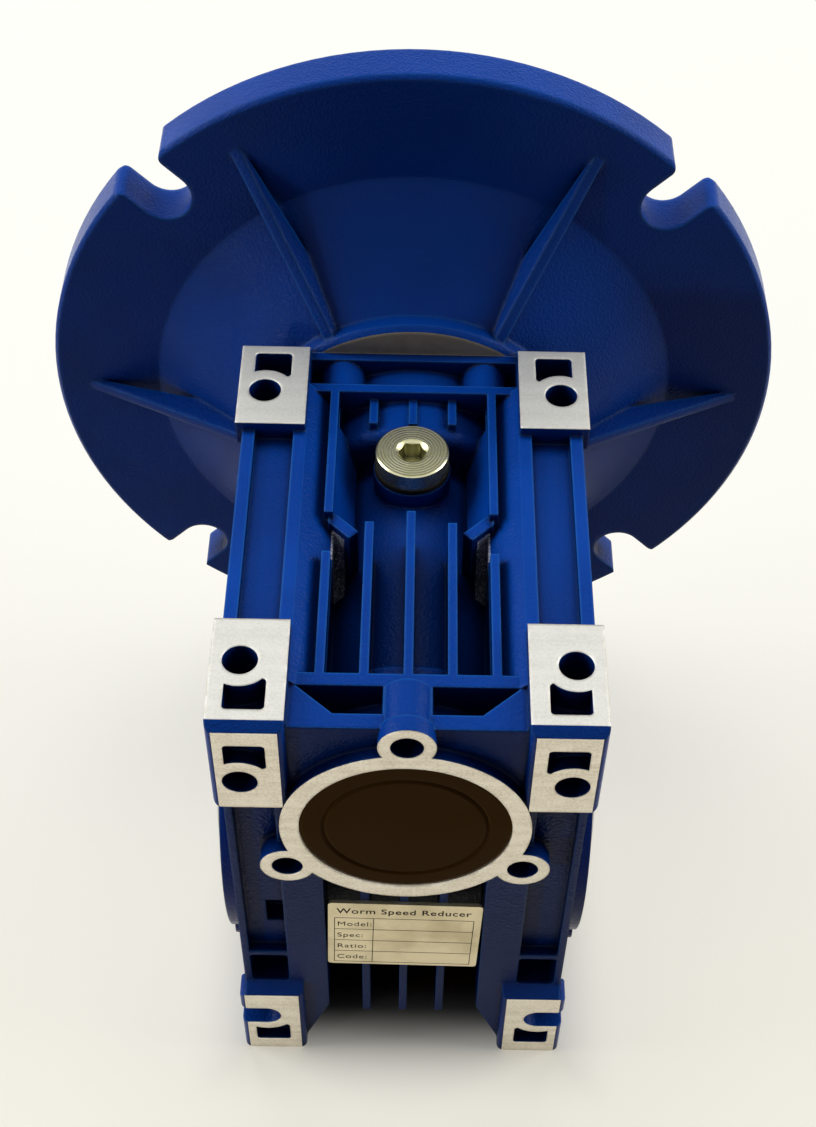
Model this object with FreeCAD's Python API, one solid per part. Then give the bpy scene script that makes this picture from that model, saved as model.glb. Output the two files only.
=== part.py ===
import FreeCAD, Part
import math
import os
from FreeCAD import Vector

# Worm gear reducer with a round motor flange. Millimetres, +Z up.
# X is the output (wheel) axis, Y the input (worm) axis, the motor is at +Y.
# The origin is the centre of the output bore, on the housing's mid-plane.

# Gear pair
MODULE = 2.0
WHEEL_TEETH = 30
WORM_PITCH_R = 10.0
WORM_THREAD_LEN = 36.0
THREAD_LEAD_IN = 2.5
PRESSURE_ANGLE = 20.0
BACKLASH_SIDE = 0.16
TIP_CLEARANCE = 0.4
WHEEL_FACE = 12.0
WHEEL_TIP_EXTRA = 0.5
WHEEL_EDGE = 2.0
RIM_WALL = 4.6
GAP_ROOT_CLEAR = 0.42
GAP_PITCH_CLEAR = 0.65
GAP_MOUTH_CLEAR = 0.72
GAP_MOUTH_OVER = 0.2
GAP_SWEEP = 150.0
HUB_DISC = 14.0

# Bearings, seals and the shafts that run in them
HUB_R = 15.0
HUB_SHOULDER = 3.0
WHEEL_SECTION = 12.5
WHEEL_BEARING_W = 13.0
WHEEL_BALLS = 11
REAR_JOURNAL_R = 8.5
REAR_SECTION = 11.5
REAR_BEARING_W = 12.0
REAR_BALLS = 8
INPUT_HUB_R = 12.5
INPUT_SECTION = 11.0
INPUT_BEARING_W = 12.0
INPUT_BALLS = 10
BALL_SHARE = 0.29
BEARING_LAND = 0.55
OUTPUT_SEAL_R = 23.5
OUTPUT_SEAL_W = 7.0
INPUT_SEAL_W = 4.6
SEAL_WALL = 1.6
CIRCLIP_T = 1.7
CIRCLIP_WIDTH = 3.3
CIRCLIP_BITE = 1.2
CIRCLIP_EAR_R = 2.2
CIRCLIP_EYE_R = 0.9
CIRCLIP_EAR_X = 4.6
CAP_T = 6.0
CAP_SKIN = 2.0
CAP_RING_R = 15.5
CAP_SINK = 0.3

# Output side
SHAFT_HALF_LEN = 39.0
OUTPUT_BORE_R = 9.0
OUTPUT_KEY_W = 6.0
OUTPUT_KEY_DEPTH = 2.8
SPIGOT_R = 30.0
SPIGOT_LEN = 1.5
BOSS_RISE = 3.5
OUTPUT_TAP_R = 2.5
OUTPUT_TAP_DEPTH = 10.0
OUTPUT_FORMED_R = 2.75
OUTPUT_CLEAR_R = 3.2
OUTPUT_EAR_R = 6.5
COVER_SCREW_R = 1.5
COVER_SCREW_HEAD_R = 2.9
COVER_SCREW_LEN = 12.0
COVER_SCREW_HEX = 2.0
ORING_INSET = 6.4
ORING_W = 2.6
ORING_DEPTH = 1.8

# Housing
HALF_LEN = 50.0
TOP_ABOVE_WORM = 31.5
BOTTOM_Z = -50.0
PAD_W = 13.9
PAD_LEN = 24.6
PAD_RISE = 1.9
PAD_SIDE_RISE = 1.4
PAD_DEPTH = 5.5
PAD_CORNER_R = 1.5
PAD_BEVEL = 1.8
UPPER_FACE_PAD_H = 24.5
LOWER_FACE_PAD_H = 24.0
FOOT_SLOPE = 2.6
WALL_T = 12.7
RAIL_STRIP = 2.5
RAIL_CHANNEL = 2.4
FACE_RISE = 2.5
PLATE_T = 3.2
FIN_DROP = 3.0
FIN_T = 1.7
FIN_PITCH = 8.0
NEAR_FIN_ENDS = (5.0, 2.0, -5.8)
OUTER_FIN_START = 4.4
BRACE_RUN = 5.0
BRACE_DROP = 1.9
FAR_RIB_DROP = 2.0
LEDGE_IN_X = 15.0
LEDGE_DROP = 5.6
SHOULDER_IN_X = 11.3
SHOULDER_DROP = 11.5
BAR_T = 2.8
FAR_BAR_T = 2.2
REAR_BAR_IN = 12.0
FAR_BAR_IN = 11.7
TUNNEL_CLEAR = 3.4
TUNNEL_WALL = 3.1
CHAMBER_CLEAR = 2.0
CHAMBER_WALL = 4.0
WEB_T = 6.0
REAR_RING_WALL = 3.65
INPUT_BOSS_WALL = 2.5
BELLY_FIN_END = 3.8
BELLY_FIN_Z = -46.5
CENTRE_BOSS_W = 8.8
SIDE_POCKET_DEPTH = 3.0
SIDE_POCKET_RIM = 8.5
SIDE_RIB_T = 4.0

# Rear legs
LEG_POST_W = 5.1
LEG_T = 10.0
LEG_FLARE_H = 16.0
LEG_STRIP = 3.2
LEG_CHANNEL_W = 8.0
LEG_CHANNEL_TOP = 46.0
LEG_POCKET_TOP = -12.5
LEG_POCKET_DEPTH = 6.5
LEG_RIB_T = 1.5
LEG_NOTCH_W = 3.8
LEG_NOTCH_Z = (-2.0, 6.0)

# Bolt holes of the top, the rear and the feet
HOLE_SIDE = 5.4
HOLE_END = 15.0
HOLE_R = 3.25
FOOT_HOLE_R = 3.5
HOLE_DEPTH = 13.0
HOLE_WALL = 2.65
FACE_HOLE_DROP = 16.5
FACE_SLOT_H = 15.0
FACE_HOLE_DEPTH = 8.0
POCKET_OUT = 2.5
POCKET_IN = 5.0
POCKET_NEAR = 4.1
POCKET_FAR = 11.0
POCKET_CORNER_R = 0.8
FACE_POCKET_DEPTH = 3.0
LUG_R = 5.25
LUG_HOLE_R = 3.0
LUG_HOLE_DEPTH = 12.0
LUG_OUT = 2.55
LUG_NECK_R = 4.6

# Worm shaft's input end
INPUT_HUB_SET_BACK = 5.0
INPUT_BORE_R = 7.9375
INPUT_BORE_LEN = 34.0
INPUT_KEY_W = 4.76
INPUT_KEY_DEPTH = 2.2
CHAMFER = 0.6

# Motor flange
FLANGE_R = 81.0
FLANGE_REACH = 20.0
FLANGE_T = 10.0
FLANGE_EDGE = 0.8
FLANGE_STEP = 1.1
NECK_R = 35.5
NECK_LEN = 4.0
CONE_R = 57.8
FLANGE_WALL = 5.0
FLANGE_FLOOR = 8.0
REGISTER_R = 57.15
REGISTER_DEPTH = 4.0
FLANGE_HOLE_R = 20.0
SLOT_COUNT = 4
SLOT_IN = 7.6
SLOT_HALF_W = 5.7
SLOT_LIP_R = 2.0
RIB_COUNT = 6
RIB_TIP_IN = 7.5
RIB_CREST_W = 2.2
RIB_ROOT_W = 6.4
RIB_ROOT_DEPTH = 8.0
FLANGE_SCREW_R = 2.5
FLANGE_SCREW_HEAD_R = 4.25
FLANGE_SCREW_HEAD_H = 5.0
FLANGE_SCREW_LEN = 16.0
FLANGE_SCREW_HEX = 4.0
FLANGE_BOSS_R = 4.6

# Small pieces
PLUG_SPACE = 8.1
PLUG_BOSS_H = 3.5
PLUG_HEAD_R = 7.35
PLUG_HEAD_H = 3.9
PLUG_EDGE = 0.3
PLUG_SHANK_R = 4.8
PLUG_SHANK_LEN = 7.0
PLUG_HEX = 5.0
PLUG_HEX_DEPTH = 4.0
PLUG_LEAD = 0.9
WASHER_T = 1.0
WASHER_EDGE = 0.25
PLATE_W = 31.5
PLATE_H = 24.6
LABEL_T = 0.8
LABEL_Z = -4.3
LABEL_TURN = -1.4
LABEL_CORNER_R = 0.8

# Clearances between pieces
FIT = 0.02
RUNNING = 0.04
SCREW_GAP = 0.05
END_GAP = 0.1
SEAL_GAP = 0.2
SPOT_GAP = 0.45
FLANGE_SCREW_GAP = 0.3
WALL_SPARE = 0.5
CUT = 1.0

# Gear sizes that follow from the module
WHEEL_PITCH_R = MODULE * WHEEL_TEETH / 2
WORM_Z = WORM_PITCH_R + WHEEL_PITCH_R
AXIAL_PITCH = math.pi * MODULE
LEAD_ANGLE = math.degrees(math.atan(AXIAL_PITCH / (2 * math.pi * WORM_PITCH_R)))
WORM_TIP_R = WORM_PITCH_R + MODULE
WORM_ROOT_R = WORM_PITCH_R - MODULE - TIP_CLEARANCE
GAP_ROOT_R = WORM_TIP_R + TIP_CLEARANCE
WHEEL_THROAT_R = WHEEL_PITCH_R + MODULE
WHEEL_TIP_R = WHEEL_THROAT_R + WHEEL_TIP_EXTRA
RIM_BORE_R = WORM_Z - GAP_ROOT_R - RIM_WALL

# Bearing seats
WHEEL_SEAT_R = HUB_R + WHEEL_SECTION
REAR_SEAT_R = REAR_JOURNAL_R + REAR_SECTION
INPUT_SEAT_R = INPUT_HUB_R + INPUT_SECTION

# Places along the output axis
SEAL_OUT_X = SHAFT_HALF_LEN - CAP_SINK
SEAL_IN_X = SEAL_OUT_X - OUTPUT_SEAL_W
BEARING_OUT_X = SEAL_IN_X - SEAL_GAP
BEARING_IN_X = BEARING_OUT_X - WHEEL_BEARING_W
CHAMBER_HALF_W = BEARING_IN_X - CUT
BOSS_X = SHAFT_HALF_LEN - SPIGOT_LEN
WALL_OUT_X = BOSS_X - BOSS_RISE
WALL_IN_X = WALL_OUT_X - WALL_T
PAD_OUT_X = WALL_OUT_X + PAD_SIDE_RISE
PAD_IN_X = PAD_OUT_X - PAD_W
HOLE_X = PAD_OUT_X - HOLE_SIDE
LEG_IN_X = WALL_IN_X - LEG_POST_W
LEG_CHANNEL_IN_X = WALL_IN_X + LEG_STRIP
ORING_X = BEARING_OUT_X - ORING_INSET

# Radii around the output axis
CHAMBER_R = WHEEL_TIP_R + CHAMBER_CLEAR
BOSS_R = CHAMBER_R + OUTPUT_EAR_R
OUTPUT_PCD = 2 * (CHAMBER_R + OUTPUT_TAP_R + WALL_SPARE)
COVER_SCREW_PCD = 2 * (CHAMBER_R + COVER_SCREW_R + CUT)

# Heights
TOP_Z = WORM_Z + TOP_ABOVE_WORM
RAIL_TOP_Z = TOP_Z - PAD_RISE
RAIL_BOTTOM_Z = BOTTOM_Z + PAD_RISE
FIN_TOP_Z = TOP_Z - FIN_DROP
UPPER_FACE_PAD_Z = TOP_Z - UPPER_FACE_PAD_H
LOWER_FACE_PAD_Z = BOTTOM_Z + LOWER_FACE_PAD_H
FACE_HOLE_Z = TOP_Z - FACE_HOLE_DROP
FACE_SLOT_Z = BOTTOM_Z + FACE_SLOT_H
TUNNEL_BORE_R = WORM_TIP_R + TUNNEL_CLEAR
TUNNEL_R = TUNNEL_BORE_R + TUNNEL_WALL
PLUG_BOSS_Z = WORM_Z + TUNNEL_R + PLUG_BOSS_H

# Places along the worm axis, from the rear face to the motor
PLATE_Y = -HALF_LEN + FACE_RISE
PLATE_BACK_Y = PLATE_Y + PLATE_T
CAP_OUT_Y = -HALF_LEN + CAP_SINK
CAP_IN_Y = CAP_OUT_Y + CAP_T
REAR_CLIP_Y = CAP_IN_Y + END_GAP
REAR_BEARING_Y = REAR_CLIP_Y + CIRCLIP_T + END_GAP
REAR_SHOULDER_Y = REAR_BEARING_Y + REAR_BEARING_W
REAR_BAR_Y = -HALF_LEN + REAR_BAR_IN
HOLE_Y = HALF_LEN - HOLE_END
FAR_BAR_Y = HALF_LEN - FAR_BAR_IN
INPUT_SEAL_Y = HALF_LEN - INPUT_SEAL_W
INPUT_CLIP_Y = INPUT_SEAL_Y - 4 * END_GAP - CIRCLIP_T
INPUT_SHOULDER_Y = INPUT_CLIP_Y - END_GAP - INPUT_BEARING_W
PLUG_Y = INPUT_SHOULDER_Y - PLUG_SPACE
FLANGE_SEAT_Y = HALF_LEN + FLANGE_FLOOR
FLANGE_NEAR_Y = HALF_LEN + FLANGE_REACH
MOTOR_FACE_Y = FLANGE_NEAR_Y + FLANGE_T
INPUT_HUB_END = MOTOR_FACE_Y - INPUT_HUB_SET_BACK

# Radii around the worm axis
REAR_RING_R = REAR_SEAT_R + REAR_RING_WALL
INPUT_BOSS_R = INPUT_SEAT_R + INPUT_BOSS_WALL
LUG_PCD = 2 * (REAR_RING_R + LUG_OUT)
FLANGE_SCREW_PCD = 2 * (INPUT_SEAT_R + CIRCLIP_BITE + FLANGE_SCREW_R + WALL_SPARE + END_GAP)
MATING_R = NECK_R - FLANGE_STEP
SLOT_CENTRE_R = FLANGE_R - SLOT_IN
RIB_TIP_R = FLANGE_R - RIB_TIP_IN

ORIGIN = Vector(0, 0, 0)
AXIS_X = Vector(1, 0, 0)
AXIS_Y = Vector(0, 1, 0)
AXIS_Z = Vector(0, 0, 1)
WORM_CENTRE = Vector(0, 0, WORM_Z)
QUARTERS = (0, 90, 180, 270)
DIAGONALS = (45, 135, 225, 315)
LUG_ANGLES = (90, 210, 330)
FLANGE_SCREW_ANGLES = (58, 122, 238, 302)


# Basic solids

def box(x0, x1, y0, y1, z0, z1):
    return Part.makeBox(x1 - x0, y1 - y0, z1 - z0, Vector(x0, y0, z0))


def cyl_x(radius, x0, x1, y=0.0, z=0.0):
    return Part.makeCylinder(radius, x1 - x0, Vector(x0, y, z), AXIS_X)


def cyl_y(radius, y0, y1, x=0.0, z=WORM_Z):
    return Part.makeCylinder(radius, y1 - y0, Vector(x, y0, z), AXIS_Y)


def cyl_z(radius, z0, z1, x, y):
    return Part.makeCylinder(radius, z1 - z0, Vector(x, y, z0), AXIS_Z)


def polygon_face(points):
    return Part.Face(Part.makePolygon(points + [points[0]]))


def prism_x(outline, x0, x1):
    return polygon_face([Vector(x0, y, z) for y, z in outline]).extrude(AXIS_X * (x1 - x0))


def prism_y(outline, y0, y1):
    return polygon_face([Vector(x, y0, z) for x, z in outline]).extrude(AXIS_Y * (y1 - y0))


def prism_z(outline, z0, z1):
    return polygon_face([Vector(x, y, z0) for x, y in outline]).extrude(AXIS_Z * (z1 - z0))


def turned_x(outline):
    """Revolve (x, radius) points about the wheel axis."""
    return polygon_face([Vector(x, 0, r) for x, r in outline]).revolve(ORIGIN, AXIS_X, 360)


def turned_y(outline):
    """Revolve (radius, y) points about the worm axis."""
    face = polygon_face([Vector(r, y, WORM_Z) for r, y in outline])
    return face.revolve(WORM_CENTRE, AXIS_Y, 360)


def turned_z(outline):
    """Revolve (radius, z) points about the Z axis."""
    return polygon_face([Vector(r, 0, z) for r, z in outline]).revolve(ORIGIN, AXIS_Z, 360)


def hexagon(across_flats, u=0.0, v=0.0):
    corner = across_flats / 2 / math.cos(math.pi / 6)
    angles = [k * math.pi / 3 for k in range(6)]
    return [(u + corner * math.cos(a), v + corner * math.sin(a)) for a in angles]


def fuse(shapes):
    return shapes[0].multiFuse(shapes[1:]).removeSplitter()


def mirrored_x(shapes):
    """The shapes and their copies on the other side of x = 0."""
    return shapes + [shape.mirror(ORIGIN, AXIS_X) for shape in shapes]


def mirrored_y(shapes):
    """The shapes and their copies on the other side of y = 0."""
    return shapes + [shape.mirror(ORIGIN, AXIS_Y) for shape in shapes]


def rounded(shape, radius, along):
    """Round the straight edges of a box that run along one axis."""
    edges = []
    for edge in shape.Edges:
        run = edge.Vertexes[1].Point - edge.Vertexes[0].Point
        if abs(run.dot(along)) > 0.99 * run.Length:
            edges.append(edge)
    return shape.makeFillet(radius, edges)


def polar(pcd, degrees):
    angle = math.radians(degrees)
    return pcd / 2 * math.cos(angle), pcd / 2 * math.sin(angle)


def around_worm(pcd, degrees):
    """A point of a circle around the worm axis, as (x, z)."""
    x, up = polar(pcd, degrees)
    return x, WORM_Z + up


def along_y(shape, y):
    """Stand a piece that was drawn along Z on the worm axis."""
    placed = shape.copy()
    placed.rotate(ORIGIN, AXIS_X, -90)
    placed.translate(Vector(0, y, WORM_Z))
    return placed


def along_x(shape, x):
    """Stand a piece that was drawn along Z on the wheel axis."""
    placed = shape.copy()
    placed.rotate(ORIGIN, AXIS_Y, 90)
    placed.translate(Vector(x, 0, 0))
    return placed


def save(shape, node):
    shape.exportStep("parts/" + node + ".step")


# Die-cast housing

def pads():
    """The machined pads at the eight corners, with a painted bevel between faces."""
    pad_in_y = PAD_LEN - HALF_LEN
    face_in_y = PAD_DEPTH - HALF_LEN
    top = box(PAD_IN_X, PAD_OUT_X, -HALF_LEN, pad_in_y, TOP_Z - PAD_DEPTH, TOP_Z)
    bottom = box(PAD_IN_X, PAD_OUT_X, -HALF_LEN, pad_in_y, BOTTOM_Z, BOTTOM_Z + PAD_DEPTH)
    plan = box(PAD_IN_X, PAD_OUT_X, -HALF_LEN, 0, BOTTOM_Z, TOP_Z)
    upper = box(PAD_IN_X, PAD_OUT_X, -HALF_LEN, face_in_y, UPPER_FACE_PAD_Z, TOP_Z)
    lower = box(PAD_IN_X, PAD_OUT_X, -HALF_LEN, face_in_y, BOTTOM_Z, LOWER_FACE_PAD_Z)
    blocks = [top, bottom] + [rounded(block, PAD_CORNER_R, AXIS_Y) for block in (upper, lower)]
    slope = prism_x([(-HALF_LEN, LOWER_FACE_PAD_Z), (PLATE_Y, LOWER_FACE_PAD_Z + FOOT_SLOPE),
                     (PLATE_Y, LOWER_FACE_PAD_Z - CUT), (-HALF_LEN, LOWER_FACE_PAD_Z - CUT)],
                    PAD_IN_X, WALL_OUT_X)
    bevel = prism_x([(-HALF_LEN - CUT, TOP_Z + CUT), (-HALF_LEN + PAD_BEVEL + CUT, TOP_Z + CUT),
                     (-HALF_LEN - CUT, TOP_Z - PAD_BEVEL - CUT)], PAD_IN_X - CUT, PAD_OUT_X + CUT)
    corner = fuse(blocks + [slope]).cut(bevel).common(rounded(plan, PAD_CORNER_R, AXIS_Z))
    return mirrored_y(mirrored_x([corner]))


def side_walls():
    wall = box(WALL_IN_X, WALL_OUT_X, PLATE_Y, HALF_LEN, RAIL_BOTTOM_Z, RAIL_TOP_Z)
    inner = WALL_IN_X + RAIL_STRIP
    outer = WALL_OUT_X - RAIL_STRIP
    reach = HALF_LEN - PAD_LEN
    top = box(inner, outer, -reach, reach, RAIL_TOP_Z - RAIL_CHANNEL, RAIL_TOP_Z + CUT)
    bottom = box(inner, outer, -reach, reach, RAIL_BOTTOM_Z - CUT, RAIL_BOTTOM_Z + RAIL_CHANNEL)
    return mirrored_x([wall.cut([top, bottom] + side_pockets())])


def side_pockets():
    """The two cored pockets of a side wall, above the boss and either side of a rib."""
    top_z = FACE_HOLE_Z
    end_y = HALF_LEN - SIDE_POCKET_RIM
    x0 = WALL_OUT_X - SIDE_POCKET_DEPTH
    x1 = WALL_OUT_X + CUT
    keep = cyl_x(BOSS_R + RAIL_STRIP, x0 - CUT, x1 + CUT)
    pockets = []
    for y0, y1 in ((-end_y, -SIDE_RIB_T / 2), (SIDE_RIB_T / 2, end_y)):
        pockets.append(box(x0, x1, y0, y1, SPIGOT_R, top_z).cut(keep))
    return pockets


def rear_plate():
    """The rear end wall between the bars, open below the worm's ring, with its two legs."""
    ring_low_z = WORM_Z - REAR_RING_R + RAIL_STRIP
    plate = box(-WALL_OUT_X, WALL_OUT_X, PLATE_Y, PLATE_BACK_Y, RAIL_BOTTOM_Z, FIN_TOP_Z)
    window = box(-LEG_IN_X, LEG_IN_X, PLATE_Y - CUT, PLATE_BACK_Y + CUT,
                 RAIL_BOTTOM_Z - CUT, ring_low_z)
    post = box(LEG_IN_X, WALL_IN_X + CUT, PLATE_Y, PLATE_Y + LEG_T, RAIL_BOTTOM_Z, ring_low_z)
    flare = prism_y([(LEG_IN_X - CUT, BOTTOM_Z + LEG_FLARE_H), (LEG_IN_X, BOTTOM_Z + LEG_FLARE_H),
                     (PAD_IN_X, RAIL_BOTTOM_Z), (PAD_IN_X, BOTTOM_Z), (LEG_IN_X - CUT, BOTTOM_Z)],
                    PLATE_Y - CUT, PLATE_Y + LEG_T + CUT)
    return fuse([plate.cut(window)] + mirrored_x([post])).cut(mirrored_x([flare]))


def leg_channels():
    """The long shallow channels and the deeper pockets in the rear faces of both legs."""
    inner = LEG_CHANNEL_IN_X
    outer = inner + LEG_CHANNEL_W
    front = PLATE_Y - CUT
    deep_y = PLATE_Y + LEG_POCKET_DEPTH
    shallow = box(inner, outer, front, PLATE_Y + RAIL_CHANNEL,
                  LEG_POCKET_TOP + LEG_RIB_T, LEG_CHANNEL_TOP)
    deep = box(inner, outer, front, deep_y, LOWER_FACE_PAD_Z + FOOT_SLOPE, LEG_POCKET_TOP)
    notch = box(-inner - LEG_NOTCH_W, -inner, front, deep_y, *LEG_NOTCH_Z)
    return mirrored_x([shallow, rounded(deep, POCKET_CORNER_R, AXIS_Y)]) + [notch]


def bars_and_fins():
    """The cross bars and the upright cooling fins over the worm tunnel."""
    low_z = WORM_Z - CUT
    half_boss = CENTRE_BOSS_W / 2
    pieces = [box(-WALL_IN_X, WALL_IN_X, REAR_BAR_Y, REAR_BAR_Y + BAR_T, low_z, FIN_TOP_Z),
              box(-WALL_IN_X, WALL_IN_X, FAR_BAR_Y, FAR_BAR_Y + FAR_BAR_T, low_z, FIN_TOP_Z),
              box(-half_boss, half_boss, PLATE_Y, REAR_BAR_Y, low_z, FIN_TOP_Z)]
    corner = [(WALL_IN_X, REAR_BAR_Y), (WALL_IN_X, PLATE_BACK_Y),
              (WALL_IN_X - FIN_PITCH, PLATE_BACK_Y), (WALL_IN_X - CUT, REAR_BAR_Y)]
    pieces += mirrored_x([prism_z(corner, low_z, FIN_TOP_Z)])
    for step in (-2, -1, 0, 1, 2):
        x0 = step * FIN_PITCH - FIN_T / 2
        outermost = abs(step) == 2
        far_start = OUTER_FIN_START if outermost else INPUT_SHOULDER_Y
        far_foot, far_top = ((low_z, FIN_TOP_Z) if outermost
                             else (WORM_Z + TUNNEL_R, FIN_TOP_Z - FAR_RIB_DROP))
        pieces.append(box(x0, x0 + FIN_T, REAR_BAR_Y, NEAR_FIN_ENDS[abs(step)], low_z, FIN_TOP_Z))
        pieces.append(box(x0, x0 + FIN_T, far_start, FAR_BAR_Y + CUT, far_foot, far_top))
    brace_x = 2 * FIN_PITCH
    brace = [(brace_x + FIN_T / 2, OUTER_FIN_START), (brace_x - FIN_T / 2, OUTER_FIN_START + FIN_T),
             (brace_x - BRACE_RUN - FIN_T / 2, OUTER_FIN_START + FIN_T - BRACE_RUN),
             (brace_x - BRACE_RUN + FIN_T / 2, OUTER_FIN_START - BRACE_RUN)]
    return pieces + mirrored_x([prism_z(brace, low_z, FIN_TOP_Z - BRACE_DROP)] + ledges(low_z))


def ledges(low_z):
    """The slope from a rail down to the pit, and the steeper one beside the filler plug."""
    slope = [(WALL_IN_X, RAIL_TOP_Z), (LEDGE_IN_X, RAIL_TOP_Z - LEDGE_DROP), (LEDGE_IN_X, low_z),
             (WALL_IN_X + CUT, low_z), (WALL_IN_X + CUT, RAIL_TOP_Z)]
    shoulder = [(2 * FIN_PITCH, FIN_TOP_Z - CUT), (SHOULDER_IN_X, FIN_TOP_Z - SHOULDER_DROP),
                (SHOULDER_IN_X, low_z), (2 * FIN_PITCH, low_z)]
    front = OUTER_FIN_START + FIN_T - BRACE_RUN
    return [prism_y(slope, REAR_BAR_Y, FAR_BAR_Y + CUT),
            prism_y(shoulder, front + FIN_T, INPUT_SHOULDER_Y)]


def belly_fins():
    """The fins that wrap the wheel chamber, seen below the worm's ring."""
    top_z = WORM_Z - REAR_RING_R + RAIL_STRIP
    front = -HALF_LEN + BELLY_FIN_END
    corner = FIN_PITCH
    outline = [(front, top_z), (front, BELLY_FIN_Z + corner), (front + corner, BELLY_FIN_Z),
               (HALF_LEN - CUT, BELLY_FIN_Z), (HALF_LEN - CUT, top_z)]
    fins = []
    for step in (-1, 0, 1):
        x0 = step * FIN_PITCH - FIN_T / 2
        fins.append(prism_x(outline, x0, x0 + FIN_T))
    return fins


def rings_and_lugs():
    """The round bosses of the worm's bearings, its tunnel, the lugs and the screw bosses."""
    ring_in_y = REAR_SHOULDER_Y + END_GAP
    ring = turned_y([(0, -HALF_LEN), (REAR_RING_R, -HALF_LEN), (REAR_RING_R, ring_in_y),
                     (REAR_RING_R - RAIL_STRIP, ring_in_y + RAIL_STRIP), (0, ring_in_y + RAIL_STRIP)])
    boss_y = INPUT_SHOULDER_Y - RAIL_STRIP
    input_boss = cyl_y(INPUT_BOSS_R, boss_y, HALF_LEN)
    rim = [edge for edge in input_boss.Edges if edge.BoundBox.YMax < boss_y + CUT]
    input_boss = input_boss.makeFillet(RAIL_STRIP, rim)
    pieces = [ring, input_boss, cyl_y(TUNNEL_R, PLATE_Y, INPUT_SHOULDER_Y)]
    for degrees in LUG_ANGLES:
        pieces.append(cyl_y(LUG_R, -HALF_LEN, PLATE_Y + CUT, *around_worm(LUG_PCD, degrees)))
        pieces.append(cyl_y(LUG_NECK_R, PLATE_Y, REAR_BAR_Y, *around_worm(LUG_PCD, degrees)))
    for degrees in FLANGE_SCREW_ANGLES:
        x, z = around_worm(FLANGE_SCREW_PCD, degrees)
        pieces.append(cyl_y(FLANGE_BOSS_R, FAR_BAR_Y, HALF_LEN, x, z))
    return pieces


def output_boss(x0, x1, tip_x):
    """A round boss with four ears and a pilot spigot, as the two sides share it."""
    low, high = sorted((x0, x1))
    pieces = [cyl_x(BOSS_R, low, high), cyl_x(SPIGOT_R, min(x1, tip_x), max(x1, tip_x))]
    for degrees in DIAGONALS:
        pieces.append(cyl_x(OUTPUT_EAR_R, low, high, *polar(OUTPUT_PCD, degrees)))
    return pieces


def bearing_seats():
    """The bores for the bearings, seals, clips and the cap, along both axes."""
    bite = CIRCLIP_BITE + END_GAP
    slack = END_GAP / 2
    rear_groove = cyl_y(REAR_SEAT_R + bite, REAR_CLIP_Y - slack, REAR_CLIP_Y + CIRCLIP_T + slack)
    input_groove = cyl_y(INPUT_SEAT_R + bite, INPUT_CLIP_Y - slack, INPUT_CLIP_Y + CIRCLIP_T + slack)
    return [cyl_x(CHAMBER_R, -CHAMBER_HALF_W, WALL_OUT_X + CUT),
            cyl_x(WHEEL_SEAT_R + FIT, -BEARING_OUT_X, -CHAMBER_HALF_W),
            cyl_x(OUTPUT_SEAL_R + FIT, -SHAFT_HALF_LEN - CUT, -BEARING_OUT_X),
            cyl_y(REAR_SEAT_R + FIT, -HALF_LEN - CUT, REAR_SHOULDER_Y),
            cyl_y(TUNNEL_BORE_R, REAR_SHOULDER_Y, INPUT_SHOULDER_Y),
            cyl_y(INPUT_SEAT_R + FIT, INPUT_SHOULDER_Y, HALF_LEN + CUT),
            rear_groove, input_groove]


def screw_holes():
    """The holes of the flange, cover, lug and output-face screws, and of the filler plug."""
    holes = [cyl_z(PLUG_SHANK_R + SCREW_GAP, WORM_Z, PLUG_BOSS_Z + CUT, 0, PLUG_Y),
             cyl_z(PLUG_HEAD_R + SPOT_GAP, PLUG_BOSS_Z, TOP_Z, 0, PLUG_Y)]
    for degrees in DIAGONALS:
        y, z = polar(OUTPUT_PCD, degrees)
        holes.append(cyl_x(OUTPUT_TAP_R, -BOSS_X - CUT, -BOSS_X + OUTPUT_TAP_DEPTH, y, z))
        holes.append(cyl_x(OUTPUT_FORMED_R, BOSS_X - OUTPUT_TAP_DEPTH, WALL_OUT_X + CUT, y, z))
    for degrees in QUARTERS:
        y, z = polar(COVER_SCREW_PCD, degrees)
        holes.append(cyl_x(COVER_SCREW_R + SCREW_GAP, BOSS_X - COVER_SCREW_LEN - CUT,
                           WALL_OUT_X + CUT, y, z))
    for degrees in LUG_ANGLES:
        x, z = around_worm(LUG_PCD, degrees)
        holes.append(cyl_y(LUG_HOLE_R, -HALF_LEN - CUT, -HALF_LEN + LUG_HOLE_DEPTH, x, z))
    for degrees in FLANGE_SCREW_ANGLES:
        x, z = around_worm(FLANGE_SCREW_PCD, degrees)
        holes.append(cyl_y(FLANGE_SCREW_R + SCREW_GAP, FAR_BAR_Y + FAR_BAR_T, HALF_LEN + CUT, x, z))
    return holes


def pad_pocket(along, depth_from, depth_to, offset):
    """A cored pocket beside a bolt hole, whose boss bulges into it."""
    inner, outer = HOLE_X - POCKET_IN, HOLE_X + POCKET_OUT
    near, far = offset + POCKET_NEAR, offset + POCKET_FAR
    if along == AXIS_Z:
        block = box(inner, outer, -far, -near, depth_from, depth_to)
        boss = cyl_z(HOLE_R + HOLE_WALL, depth_from - CUT, depth_to + CUT, HOLE_X, -offset)
    else:
        block = box(inner, outer, depth_from, depth_to, near, far)
        boss = cyl_y(HOLE_R + HOLE_WALL, depth_from - CUT, depth_to + CUT, HOLE_X, offset)
    return rounded(block, POCKET_CORNER_R, along).cut(boss)


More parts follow.
